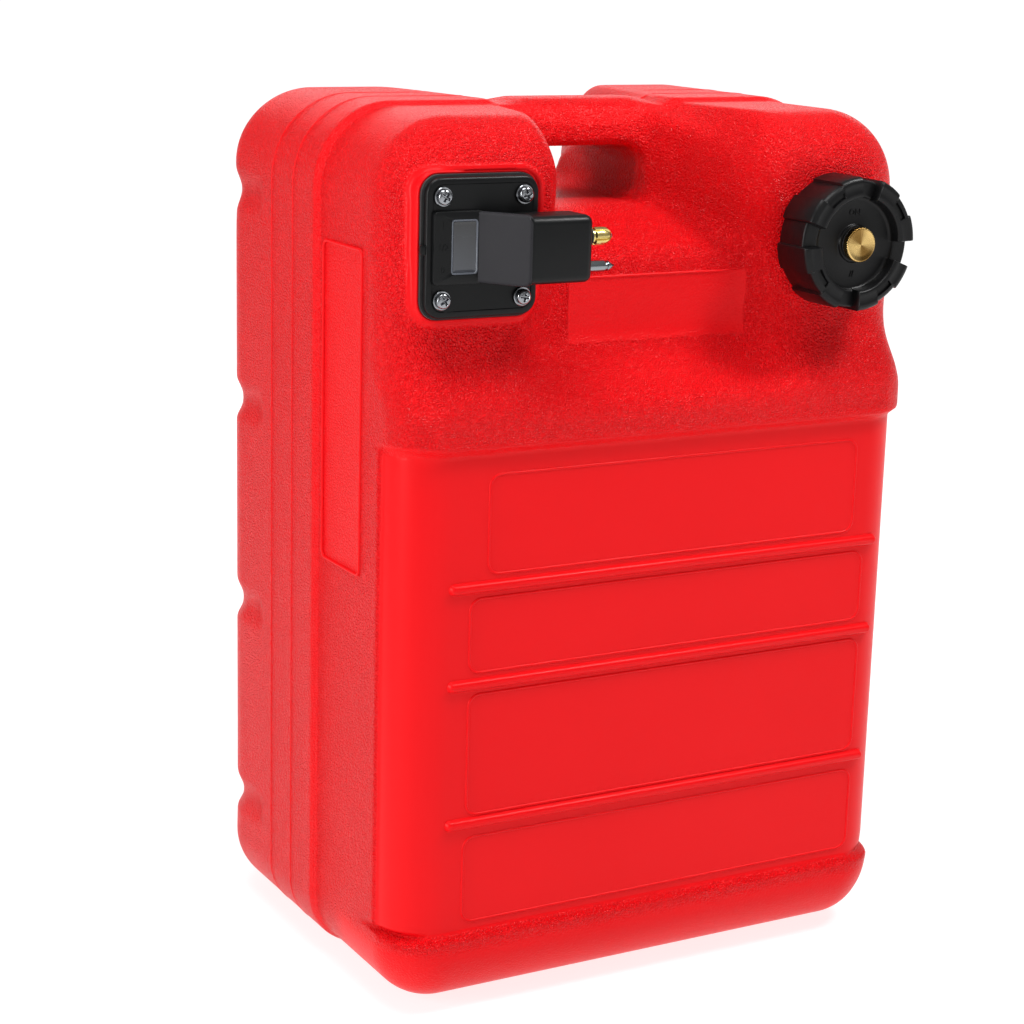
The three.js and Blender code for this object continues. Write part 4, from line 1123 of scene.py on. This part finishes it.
    def build_bars(self) -> None:
        """Makes the three raised bars on the label face, with rounded ends and a rounded crest."""
        left, right = self.bar_ends
        for number, height in enumerate(self.bar_heights, 1):
            centre = ((left + right) / 2, height)
            rows = []
            for proud, inset in ((-1.0, -0.3), (0.0, -0.3), (0.5, 0.0), (1.8, 0.5), (2.6, 1.1), (3.0, 2.0)):
                half_x = (right - left) / 2 - inset
                rows.append((-self.depth - proud, half_x, self.bar_half - inset, self.bar_half, centre))
            place_mesh(f"label_bar_{number}", plate_loft(rows), TANK_RED, Body.TANK, Slot.TANK, sharp=60)

    def line_frame(self, name: str, sides: Box, face: float, radius: float, flank: bool = False) -> None:
        """Makes a fine raised line round a moulded panel.

        Args:
            name: the piece's name.
            sides: left, right, bottom and top of the panel; on the flank, front, back, bottom and top.
            face: the face's distance from the middle.
            radius: the corners' radius.
            flank: whether the panel is on the left side instead of the front.
        """
        left, right, low, high = sides
        centre = ((left + right) / 2, (low + high) / 2)
        half_x, half_z = (right - left) / 2, (high - low) / 2
        rings = []
        for proud, out in ((-0.6, 0.85), (0.15, 0.75), (0.6, 0.3), (0.6, -0.3), (0.15, -0.75), (-0.6, -0.85)):
            outline = rounded_outline(half_x + out, half_z + out, radius + out, centre)
            reach = -face - proud
            rings.append([(reach, u, pz) if flank else (u, reach, pz) for u, pz in outline])
        place_mesh(name, Skin().rings(rings, closed=True), TANK_RED, Body.TANK, Slot.TANK, sharp=80)

    def build_frames(self) -> None:
        """Makes the moulded lines of the label panels, the capacity panel, the side strip and the head's seat."""
        for number, sides in enumerate(self.frames, 1):
            self.line_frame(f"label_frame_{number}", sides, self.depth, 7.0)
        self.line_frame("capacity_frame", self.capacity_frame, self.panel_depth, 4.0)
        self.line_frame("side_frame", self.strip, self.half_width - self.set_in, 4.0, flank=True)
        cx, cz, hx, hz, radius = self.seat
        sides = (cx - hx + 1.0, cx + hx - 1.0, cz - hz + 1.0, cz + hz - 1.0)
        self.line_frame("seat_frame", sides, self.seat_face, radius - 1.0)

    def outline_path(self) -> list[Box]:
        """Points round the tank seen from the front, each with its outward direction.

        Returns:
            The place, across and up, and the direction of each point.
        """
        middle = self.height / 2
        path = []
        for k, (sx, sz) in enumerate(((1, -1), (1, 1), (-1, 1), (-1, -1))):
            radius = self.outline_bottom if sz < 0 else self.outline_top
            centre = (sx * (self.half_width - radius), middle + sz * (middle - radius))
            for i in range(25):
                angle = math.radians(90 * (k - 1) + 90 * i / 24)
                out = (math.cos(angle), math.sin(angle))
                path.append((centre[0] + radius * out[0], centre[1] + radius * out[1], *out))
            if k == 1:  # across the top, where the handle bar's edge falls away
                path.extend((mix(centre[0], -centre[0], i / 60), self.height, 0.0, 1.0) for i in range(1, 60))
        return path

    def build_seams(self, shell: bpy.types.Object) -> None:
        """Makes the parting line and the mould's second line, which run round the tank behind its middle.

        Args:
            shell: the tank's skin, which the lines lie on.
        """
        path = self.outline_path()
        bpy.context.view_layer.update()
        for name, place, gap in self.line_gaps:
            # Behind the handle bar there is a gap between the blocks, where the line stops
            skipped = [k for k, (x, z, _, _) in enumerate(path) if abs(x) < gap and z > self.height / 2]
            run = path[skipped[-1] + 1 :] + path[: skipped[0]] if skipped else path
            rings = []
            for x, z, nx, nz in run:
                ring = []
                for ahead, proud in ((-0.9, -0.5), (-0.5, 0.1), (0.0, 0.28), (0.5, 0.1), (0.9, -0.5)):
                    y = place + ahead
                    outside = Vector(((x + 5 * nx) * MM, (y + ROW_SHIFT) * MM, (z + 5 * nz) * MM))
                    found, hit, _, _ = shell.ray_cast(outside, Vector((-nx, 0.0, -nz)), distance=40 * MM)
                    px, pz = (hit.x / MM, hit.z / MM) if found else (x, z)
                    ring.append((px + proud * nx, y, max(pz + proud * nz, 0.0)))
                rings.append(ring)
            skin = Skin().rings(rings, closed=not skipped)
            place_mesh(name, skin, TANK_RED, Body.TANK, Slot.TANK, sharp=80)

    def build_neck_thread(self) -> None:
        """Makes the external thread of the filler neck: a single right-hand start of 6 mm pitch."""
        skin = thread(self.neck, 28.1, 30.2, 3.5)
        place_mesh("neck_thread", skin, TANK_RED, Body.TANK, Slot.TANK, sharp=35)

    def build(self) -> None:
        """Makes the tank."""
        shell = self.build_shell()
        self.build_bars()
        self.build_frames()
        self.build_seams(shell)
        self.build_neck_thread()


# The gauge head


@dataclass
class GaugeHead:
    """The black head on the left block: flange, window, ramp, arm, screws, nipple and guide pin."""

    centre: tuple[float, float] = (-118.8, 432.4)
    half_width: float = 33.3
    half_height: float = 37.0
    radius: float = 9.0
    back: float = 114.4
    face: float = 118.4
    pad: Box = (-149.0, -120.0, 413.6, 452.2)
    pad_face: float = 121.4
    sight: Box = (-138.2, -124.0, 419.6, 447.0)
    ramp_start: float = -121.8
    ramp_end: float = -105.2
    arm_end: float = -67.2
    arm_front: float = 147.0
    arm_back: float = 120.8
    arm_low: float = 415.0
    arm_high: float = 450.8
    tab_half: tuple[float, float] = (1.6, 2.6)
    tab_place: tuple[float, float] = (-153.3, 432.0)
    screw_span: tuple[float, float] = (24.1, 27.1)
    outlet_depth: float = 134.0
    nipple_z: float = 438.0
    nipple_tip: float = -51.0
    flute_depth: float = 1.15
    pin_z: float = 421.8
    scale_x: float = -143.6
    scale: tuple[tuple[str, str, float], ...] = (
        ("full", "1", 445.0),
        ("half", "1/2", 433.4),
        ("empty", "0", 421.4),
    )

    def place(
        self,
        name: str,
        skin: Skin,
        finish: Finish,
        slot: Slot = Slot.BLACK,
        replaces: Sequence[str] = (),
        **more: object,
    ) -> None:
        """Places a piece of the head, which rides on the tank."""
        place_mesh(name, skin, finish, Body.TANK, slot, replaces, **more)

    def build_flange(self) -> None:
        """Makes the flange with its rounded border."""
        rows = []
        for y, inset in (
            (self.back, 0.8),
            (self.back + 0.5, 0.1),
            (self.back + 1.2, 0.0),
            (self.face - 1.4, 0.0),
            (self.face - 0.8, 0.2),
            (self.face - 0.3, 0.6),
            (self.face, 1.4),
            (self.face, 3.4),
            (self.face - 0.35, 3.8),
            (self.face - 0.35, 6.0),
        ):
            half_x, half_z = self.half_width - inset, self.half_height - inset
            rows.append((-y, half_x, half_z, self.radius - inset * 0.8, self.centre))
        self.place("flange_plate", plate_loft(rows, steps=10), BLACK_NYLON, replaces=["gauge_flange"])

    def build_window(self) -> None:
        """Makes the raised pad, the window in it and the window's polished border."""
        left, right, low, high = self.pad
        pad = ((left + right) / 2, (low + high) / 2)
        pad_x, pad_z = (right - left) / 2, (high - low) / 2
        left, right, low, high = self.sight
        hole = ((left + right) / 2, (low + high) / 2)
        hole_x, hole_z = (right - left) / 2, (high - low) / 2
        front = -self.pad_face
        rows = [
            (-self.face + 1.0, pad_x, pad_z, 2.2, pad),
            (front + 0.8, pad_x, pad_z, 2.2, pad),
            (front + 0.25, pad_x - 0.25, pad_z - 0.25, 2.0, pad),
            (front, pad_x - 0.8, pad_z - 0.8, 1.6, pad),
            (front, hole_x + 0.9, hole_z + 0.9, 1.6, hole),
            (front + 0.7, hole_x + 0.1, hole_z + 0.1, 1.2, hole),
            (front + 2.7, hole_x, hole_z, 1.2, hole),
        ]
        self.place("window_pad", plate_loft(rows), BLACK_NYLON)
        rows = []
        for y, inset, radius in (
            (2.3, 0.3, 0.9), (0.6, 0.3, 0.9), (0.3, 0.5, 0.8), (0.5, 1.5, 0.6), (0.5, 2.1, 0.6), (0.5, 3.0, 0.5),
        ):
            rows.append((front + y, hole_x - inset, hole_z - inset, radius, hole))
        self.place("window_lens", plate_loft(rows), SMOKED, Slot.LENS, ["gauge_lens"])
        rings = []
        for y, out in ((0.1, 0.75), (-0.25, 0.55), (-0.25, 0.1), (0.35, -0.35), (0.6, -0.3), (0.6, 0.75)):
            outline = rounded_outline(hole_x + out, hole_z + out, 1.2 + out, hole)
            rings.append([(px, front + y, pz) for px, pz in outline])
        self.place("window_bezel", Skin().rings(rings, closed=True), BEZEL)

    def build_arm(self) -> None:
        """Makes the arm that carries the connector, its wedge-shaped foot and the flange's small tab."""
        foot = self.centre[0] + self.half_width - 1.0
        front, back = -self.arm_front + 0.6, -self.arm_back - 1.0
        wedge = [
            (self.ramp_start - 0.2, -self.face + 0.5),
            (self.ramp_start - 0.2, -self.pad_face + 0.4),
            (self.ramp_end, front),
            (self.ramp_end + 0.5, front),
            (self.ramp_end + 0.5, back),
            (foot, back),
            (foot, -self.face + 0.5),
        ]
        skin = prism(wedge, self.arm_low + 0.6, self.arm_high - 0.6)
        self.place("arm_wedge", skin, BLACK_NYLON, shape=rounding(0.8, 2))
        low = self.ramp_end - 2.0
        back, front = -self.arm_back, -self.arm_front + 0.5
        block = [(low, back), (low, front), (self.arm_end, front), (self.arm_end, back)]
        skin = prism(block, self.arm_low, self.arm_high)
        self.place("connector_arm", skin, BLACK_NYLON, shape=rounding(4.4, 6))
        rows = [(-self.face + y, *self.tab_half, 1.0, self.tab_place) for y in (3.0, 0.6)]
        self.place("flange_tab", plate_loft(rows), BLACK_NYLON, shape=rounding(0.5, 2))

    def build_ramp(self) -> None:
        """Makes the charcoal plate on the arm's slope, in the slope's own plane."""
        start = Vector((self.ramp_start - 1.0, -self.pad_face + 1.2, 0.0))
        end = Vector((self.ramp_end + 0.4, -self.arm_front + 0.4, 0.0))
        along = (end - start).normalized()  # up the slope; across it is Z
        out = Vector((along.y, -along.x, 0.0))
        if out.y > 0:
            out.negate()
        length = (end - start).length
        middle = (self.arm_low + self.arm_high) / 2
        half = (self.arm_high - self.arm_low) / 2 + 0.8
        corners = ((length, -1, 4.5, -90), (length, 1, 4.5, 0), (0.0, 1, 0.6, 90), (0.0, -1, 0.6, 180))
        rings = []
        for lift, inset in ((-2.5, 0.0), (0.2, 0.0), (0.8, 0.35), (1.0, 1.0), (1.0, 1.6), (1.0, 2.6)):
            ring = []
            for place, side, radius, first in corners:
                r = max(radius - inset, 0.2)
                u0 = (place - inset - r) if place > 0 else (inset + r)
                v0 = side * (half - inset - r)
                for k in range(7):
                    angle = math.radians(first + 90 * k / 6)
                    point = start + along * (u0 + r * math.cos(angle)) + out * lift
                    ring.append((point.x, point.y, middle + v0 + r * math.sin(angle)))
            rings.append(ring)
        self.place("ramp_plate", Skin().rings(rings), GREY_NYLON)

    def build_screws(self) -> None:
        """Makes the four plated pan-head screws with cross recesses, and their washers."""
        across, up = self.screw_span
        spots = [(self.centre[0] + u * across, self.centre[1] + v * up) for u in (-1, 1) for v in (-1, 1)]
        seat = self.face - BLOCK_DEPTH + 0.3
        outline = ((2.6, 0.0), (4.9, 0.0), (5.2, 0.3), (5.2, 0.7), (4.9, 1.0), (2.6, 1.0))
        for number, spot in enumerate(spots, 1):
            washer = turned([(radius, seat + lift) for radius, lift in outline], "Y", spot, 48, closed=True)
            self.place(f"screw_washer_{number}", washer, NICKEL, Slot.CHROME, [f"flange_washer_{number}"])
            self.build_screw(number, spot, seat + 1.3)

    def build_screw(self, number: int, spot: tuple[float, float], base: float) -> None:
        """Makes one screw.

        Args:
            number: its number.
            spot: (x, z) of its axis.
            base: distance of the head's underside ahead of the block face.
        """
        head, slot_length, slot_half, slot_depth = 4.2, 2.5, 0.62, 2.0
        radii = np.concatenate([np.linspace(0.0, 3.0, 13)[1:], [3.4, 3.75, 4.0, 4.15, head]])
        tops = np.interp(radii, [0, 1.5, 3.0, 3.75, 4.0, head], [2.8, 2.78, 2.55, 2.05, 1.7, 1.1])
        turn = math.radians(12 + 23 * number)
        angles = [2 * math.pi * i / 96 for i in range(96)]
        rings = []
        for radius, ahead in ((1.2, -16.6), (2.1, -14.5), (2.1, 0.0), (head, 0.0)):
            rings.append([round_point(spot, radius, angle, base + ahead) for angle in angles])
        for radius, top in zip(radii[::-1], tops[::-1]):
            ring = []
            for angle in angles:
                cu, cv = abs(radius * math.cos(angle - turn)), abs(radius * math.sin(angle - turn))
                near = min(max(cu - slot_length, cv - slot_half), max(cv - slot_length, cu - slot_half))
                cut = slot_depth * (1 - float(smooth(near, -0.3, 0.1))) * (1 - 0.3 * radius / slot_length)
                ring.append(round_point(spot, radius, angle, base + top - max(cut, 0.0)))
            rings.append(ring)
        nodes = [f"flange_screw_{number}"]
        self.place(f"screw_{number}", Skin().rings(rings), NICKEL, Slot.CHROME, nodes, sharp=42)

    def build_nipple(self) -> None:
        """Makes the fluted brass nipple and its seal."""
        profile = [
            (2.1, -81.5), (4.4, -81.5), (4.4, -67.0), (5.0, -67.0), (5.1, -66.8), (5.1, -65.6), (4.9, -65.4),
            (3.9, -65.3), (3.9, -61.4), (4.4, -61.2), (4.8, -60.8), (4.85, -57.0), (4.8, -54.6), (4.4, -53.2),
            (3.6, -52.0), (2.9, -51.3), (2.6, self.nipple_tip), (2.1, self.nipple_tip), (2.1, -60.0),
        ]
        first, last = 9, 15  # the profile's points that the flutes run along

        def flutes(degrees: float, point: int) -> float:
            """Sinks six flutes into the nose.

            Args:
                degrees: the angle round the axis.
                point: the number of the profile's point.

            Returns:
                The change of radius.
            """
            near = abs(((degrees + 14) % 60) - 30)
            depth = self.flute_depth * (1 - float(smooth(near, 5.0, 10.0)))
            return -depth if first <= point <= last else 0.0

        axis = (-self.outlet_depth, self.nipple_z)
        skin = turned(profile, "X", axis, 144, closed=True, swell=flutes)
        self.place("fuel_nipple", skin, NIPPLE_BRASS, Slot.BRASS, ["outlet_nipple"])
        ring = []
        for k in range(12):
            angle = 2 * math.pi * k / 12
            ring.append((4.35 + 0.65 * math.cos(angle), -63.4 + 0.65 * math.sin(angle)))
        self.place("nipple_seal", turned(ring, "X", axis, 48, closed=True), NITRILE, Slot.RUBBER, ["nipple_oring"])

    def build_pin(self) -> None:
        """Makes the pointed steel guide pin with its waist."""
        profile = [
            (0.0, -80.5), (3.1, -80.5), (3.1, -54.2), (2.8, -53.6), (2.2, -53.2), (2.2, -52.5), (2.8, -52.1),
            (2.8, -51.4), (1.1, -48.6), (0.3, -47.3), (0.0, -47.2),
        ]
        skin = turned(profile, "X", (-self.outlet_depth, self.pin_z), 64)
        self.place("steel_guide_pin", skin, DRAWN_STEEL, Slot.STEEL, ["guide_pin"])

    def build_numbers(self) -> None:
        """Makes the raised numbers of the gauge scale, left of its window."""
        for name, words, height in self.scale:
            raised_words(f"scale_{name}", words, (self.scale_x, height), self.pad_face, BLACK_NYLON, Body.TANK)

    def build(self) -> None:
        """Makes the gauge head."""
        self.build_flange()
        self.build_window()
        self.build_arm()
        self.build_ramp()
        self.build_screws()
        self.build_nipple()
        self.build_pin()
        self.build_numbers()


def raised_words(
    name: str,
    words: str,
    centre: tuple[float, float],
    depth: float,
    finish: Finish,
    body: Body,
    proud: float = 0.25,
    size: float = 5.0,
    sunk: float = 0.15,
) -> None:
    """Makes raised moulded characters on a face that looks forward.

    Args:
        name: the piece's name.
        words: the characters.
        centre: (x, z) of their middle.
        depth: the face's depth ahead of the mid-plane.
        finish: their finish.
        body: the body they ride on.
        proud: how far they stand out.
        size: the characters' height.
        sunk: how far they reach into the face.
    """
    curve = bpy.data.curves.new(name, "FONT")
    curve.body = words
    curve.align_x, curve.align_y = "CENTER", "CENTER"
    curve.size = size * MM
    curve.extrude = (proud + sunk) / 2 * MM
    curve.resolution_u = 3
    holder = bpy.data.objects.new(name + "_curve", curve)
    bpy.context.scene.collection.objects.link(holder)
    mesh = bpy.data.meshes.new_from_object(holder.evaluated_get(bpy.context.evaluated_depsgraph_get()))
    bpy.data.objects.remove(holder)
    middle = -depth - (proud - sunk) / 2 + ROW_SHIFT
    to_face = Matrix.Translation((centre[0] * MM, middle * MM, centre[1] * MM))
    mesh.transform(to_face @ Matrix.Rotation(math.pi / 2, 4, "X"))
    mesh.materials.clear()
    mesh.materials.append(finish.build())
    made = bpy.data.objects.new(name, mesh)
    bpy.context.scene.collection.objects.link(made)
    tie(made, body)


# The filler cap


@dataclass
class FillerCap:
    """The black filler cap: four raised grip segments round a sunk disc, with the vent screw."""

    centre: tuple[float, float] = (110.2, 427.7)
    segment_middles: tuple[float, ...] = (35.0, 125.0, 215.0, 305.0)
    segment_angle: float = 69.0
    middle_angle: float = 23.0
    middle_set_back: float = 1.5
    wall_reach: float = 34.0  # what lies further out than this is the cap's side
    trough_depth: float = 1.3
    trough_points: tuple[int, ...] = (7, 8)
    disc_face: float = 21.6
    mark_place: float = 17.5
    steps: int = 720

    def share(self, degrees: float, angle: float, ease: float) -> float:
        """1 within an angle about each segment's middle, easing to 0 at its ends."""
        near = min(abs((degrees - m + 180) % 360 - 180) for m in self.segment_middles)
        return 1 - float(smooth(near, angle / 2 - ease, angle / 2))

    def build_cap(self) -> None:
        """Makes the cap: a profile that blends between grip and gap round the axis.

        Each grip segment's middle third is set back down the whole side, with a shallow trough on top.
        """
        crown = [
            (37.4, 0.6), (38.1, 1.5), (38.1, 26.6), (37.8, 27.8), (37.0, 28.8), (35.8, 29.4), (34.4, 29.6),
            (33.9, 29.4), (29.9, 29.4), (29.4, 29.6), (27.8, 29.6), (27.1, 29.4), (26.6, 28.8), (26.4, 28.0),
            (26.1, 22.9), (25.2, 21.8),
        ]
        gap = [
            (35.6, 0.6), (36.3, 1.4), (36.3, 21.8), (36.1, 22.7), (35.6, 23.3), (35.0, 23.6), (34.4, 23.6),
            (33.9, 23.6), (29.9, 23.6), (29.4, 23.6), (27.8, 23.6), (27.1, 23.5), (26.6, 23.2), (26.4, 22.8),
            (26.1, 22.3), (25.2, 21.8),
        ]
        inside = [
            (24.0, 21.6), (11.6, 21.6), (10.9, 21.8), (10.6, 22.3), (10.5, 23.0), (10.2, 23.2), (5.7, 23.2),
            (5.7, 15.5), (3.9, 15.5), (3.9, 13.5), (8.6, 13.5), (8.6, 18.1), (31.4, 18.1), (31.4, 0.6),
        ]
        turns = [360 * i / self.steps for i in range(self.steps)]
        grips = [self.share(degrees, self.segment_angle, 1.2) for degrees in turns]
        backs = [self.share(degrees, self.middle_angle, 0.9) * grip for degrees, grip in zip(turns, grips)]
        troughs = [self.share(degrees, self.middle_angle - 3, 0.9) for degrees in turns]
        rings = []
        for k, (top, low) in enumerate(zip(crown, gap)):
            ring = []
            for degrees, grip, back, trough in zip(turns, grips, backs, troughs):
                radius, ahead = mix(low[0], top[0], grip), mix(low[1], top[1], grip)
                if top[0] > self.wall_reach:
                    radius -= self.middle_set_back * back
                if k in self.trough_points:
                    ahead -= self.trough_depth * trough
                ring.append(round_point(self.centre, radius, math.radians(degrees), ahead))
            rings.append(ring)
        for radius, ahead in inside:
            rings.append([round_point(self.centre, radius, math.radians(degrees), ahead) for degrees in turns])
        skin = Skin().rings(rings, closed=True)
        place_mesh("grip_cap", skin, CAP_NYLON, Body.CAP, Slot.BLACK, ["filler_cap"], sharp=50)

    def build_marks(self) -> None:
        """Makes the raised marks above and below the vent screw."""
        face = BLOCK_DEPTH + self.disc_face
        x, z = self.centre
        for name, words, up in (("on", "ON", self.mark_place), ("bars", "//", -self.mark_place)):
            raised_words(f"vent_mark_{name}", words, (x, z + up), face, CAP_NYLON, Body.CAP, proud=0.5)

    def build_cap_thread(self) -> None:
        """Makes the cap's internal thread, half a pitch from the neck's."""
        skin = thread(self.centre, 31.8, 29.2, 6.5)
        place_mesh("cap_thread", skin, CAP_NYLON, Body.CAP, Slot.BLACK, sharp=35)

    def build_vent(self) -> None:
        """Makes the brass vent screw: a knurled knob with a turned face, on its shank, over its seal."""
        profile = [
            (0.0, 8.0), (2.2, 8.0), (2.6, 8.4), (2.6, 24.9), (9.3, 24.9), (9.9, 25.4), (9.9, 28.9), (9.55, 29.35),
            (9.2, 29.5), (8.7, 29.5), (8.3, 29.3), (6.0, 29.2), (3.0, 29.14), (0.6, 29.1), (0.0, 29.1),
        ]
        ridged, ridges, ridge_depth = (5, 6), 60, 0.22

        def knurl(degrees: float, point: int) -> float:
            """Sinks the fine grooves of the grip."""
            wave = (1 + math.cos(math.radians(degrees * ridges))) / 2
            return -ridge_depth * wave if point in ridged else 0.0

        knob = turned(profile, "Y", self.centre, 480, swell=knurl)
        place_mesh("vent_knob", knob, TURNED_BRASS, Body.VENT, Slot.BRASS, ["vent_screw"], sharp=50)
        ring = [(3.6, 23.5), (8.9, 23.5), (9.2, 23.8), (9.2, 24.3), (8.9, 24.6), (3.6, 24.6)]
        seal = turned(ring, "Y", self.centre, 64, closed=True)
        place_mesh("vent_washer", seal, NITRILE, Body.VENT_CARRIER, Slot.RUBBER, ["vent_seal"])

    def build(self) -> None:
        """Makes the cap and its vent."""
        self.build_cap()
        self.build_marks()
        self.build_cap_thread()
        self.build_vent()


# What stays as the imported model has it


@dataclass
class InnerGear:
    """Float gear, pickup and small hardware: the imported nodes, dressed where they stand."""

    dressed: tuple[tuple[Finish, tuple[str, ...]], ...] = (
        (NITRILE, ("flange_gasket", "cap_gasket")),
        (BLACK_NYLON, ("gauge_back_plate", "float")),
        (WHITE_ACETAL, ("shaft_bush", "pickup_strainer", "gauge_pointer")),
        (NIPPLE_BRASS, ("screw_insert_1", "screw_insert_2", "screw_insert_3", "screw_insert_4")),
        (DRAWN_STEEL, ("outlet_valve", "valve_spring", "pointer_shaft")),
        (DRAWN_STEEL, ("shaft_clip", "float_retainer", "vent_clip")),
        (WIRE_STEEL, ("pickup_tube", "float_arm")),
        (TURNED_BRASS, ("vent_bush",)),
    )
    sharp: float = 35.0

    def build(self) -> None:
        """Dresses each node that stays."""
        for finish, names in self.dressed:
            for name in names:
                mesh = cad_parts[name].data
                mesh.materials.clear()
                mesh.materials.append(finish.build())
                mesh.shade_smooth()
                mesh.set_sharp_from_angle(angle=math.radians(self.sharp))
                log.info("node %s dressed", name)


# The studio


@dataclass(frozen=True)
class SoftBox:
    """A soft rectangular light that looks at the tank's middle.

    Its place and its width and height are in metres, and its power is in watts.
    """

    name: str
    place: Point
    size: tuple[float, float]
    power: float

    def build(self, target: Point) -> None:
        """Adds the light, turned to a target.

        Args:
            target: the point that it faces.
        """
        data = bpy.data.lights.new(self.name, "AREA")
        data.shape = "RECTANGLE"
        data.size, data.size_y = self.size
        data.energy = self.power
        lamp = bpy.data.objects.new(self.name, data)
        lamp.location = self.place
        lamp.rotation_euler = (Vector(target) - Vector(self.place)).to_track_quat("-Z", "Y").to_euler()
        bpy.context.scene.collection.objects.link(lamp)


@dataclass
class Studio:
    """Camera, pale floor and soft light."""

    camera_place: Point = (-698.49, -1193.28, 589.89)
    yaw: float = 29.23
    pitch: float = 13.823
    roll: float = 1.526
    focal_px: float = 2326.1
    image_px: float = 1024.0
    sensor_mm: float = 36.0
    floor_half: float = 60.0  # metres
    floor_drop: float = 0.0004  # metres, so that the floor and the underside don't coincide
    surround: float = 0.28
    target: Point = (0.0, 0.0, 0.25)
    soft_boxes: tuple[SoftBox, ...] = (
        SoftBox("left", (-2.1, -0.35, 0.8), (0.3, 1.3), 27.0),
        SoftBox("behind", (1.0, 1.8, 0.95), (2.0, 0.4), 4.0),
        SoftBox("front", (-0.2, -2.6, 1.5), (1.6, 1.0), 3.5),
        SoftBox("right", (0.8, -0.7, 1.75), (0.4, 0.4), 20.0),
        SoftBox("top", (-0.4, -0.1, 1.9), (1.4, 0.6), 18.0),
    )

    def build_camera(self) -> None:
        """Sets the camera where the photograph was taken from."""
        yaw, pitch, roll = (math.radians(v) for v in (self.yaw, self.pitch, self.roll))
        ahead = Vector((math.sin(yaw) * math.cos(pitch), math.cos(yaw) * math.cos(pitch), -math.sin(pitch)))
        level = Vector((math.cos(yaw), -math.sin(yaw), 0.0))
        over = level.cross(ahead)
        right = level * math.cos(roll) + over * math.sin(roll)
        up = over * math.cos(roll) - level * math.sin(roll)
        data = bpy.data.cameras.new("photo_camera")
        data.sensor_width = self.sensor_mm
        data.lens = self.focal_px * data.sensor_width / self.image_px
        data.clip_start, data.clip_end = 0.05, 50.0
        camera = bpy.data.objects.new("photo_camera", data)
        turned_to = Matrix((right, up, -ahead)).transposed().to_4x4()
        x, y, z = self.camera_place
        camera.matrix_world = Matrix.Translation((x * MM, (y + ROW_SHIFT) * MM, z * MM)) @ turned_to
        bpy.context.scene.collection.objects.link(camera)
        bpy.context.scene.camera = camera

    def build_floor(self) -> None:
        """Makes the pale floor."""
        mesh = bpy.data.meshes.new("floor")
        corners = [(u * self.floor_half, v * self.floor_half, 0) for u, v in ((-1, -1), (1, -1), (1, 1), (-1, 1))]
        mesh.from_pydata(corners, [], [(0, 1, 2, 3)])
        floor = bpy.data.objects.new("floor", mesh)
        floor.location.z = -self.floor_drop
        mesh.materials.append(LIT_PAPER.build())
        bpy.context.scene.collection.objects.link(floor)

    def build_light(self) -> None:
        """Adds the white surround and the soft boxes."""
        world = bpy.data.worlds.new("studio")
        world.use_nodes = True
        background = world.node_tree.nodes["Background"]
        background.inputs["Color"].default_value = (1.0, 1.0, 1.0, 1.0)
        background.inputs["Strength"].default_value = self.surround
        bpy.context.scene.world = world
        bpy.context.scene.view_settings.view_transform = "Standard"
        for soft_box in self.soft_boxes:
            soft_box.build(self.target)

    def build(self) -> None:
        """Makes the studio."""
        self.build_camera()
        self.build_floor()
        self.build_light()


def main() -> None:
    """Builds the studio and the tank's sub-assemblies."""
    logging.basicConfig(level=logging.INFO, format="%(message)s")
    for part in (Studio(), TankBody(), GaugeHead(), FillerCap(), InnerGear()):
        part.build()
        log.info("%s built", type(part).__name__)


if __name__ == "__main__":
    main()
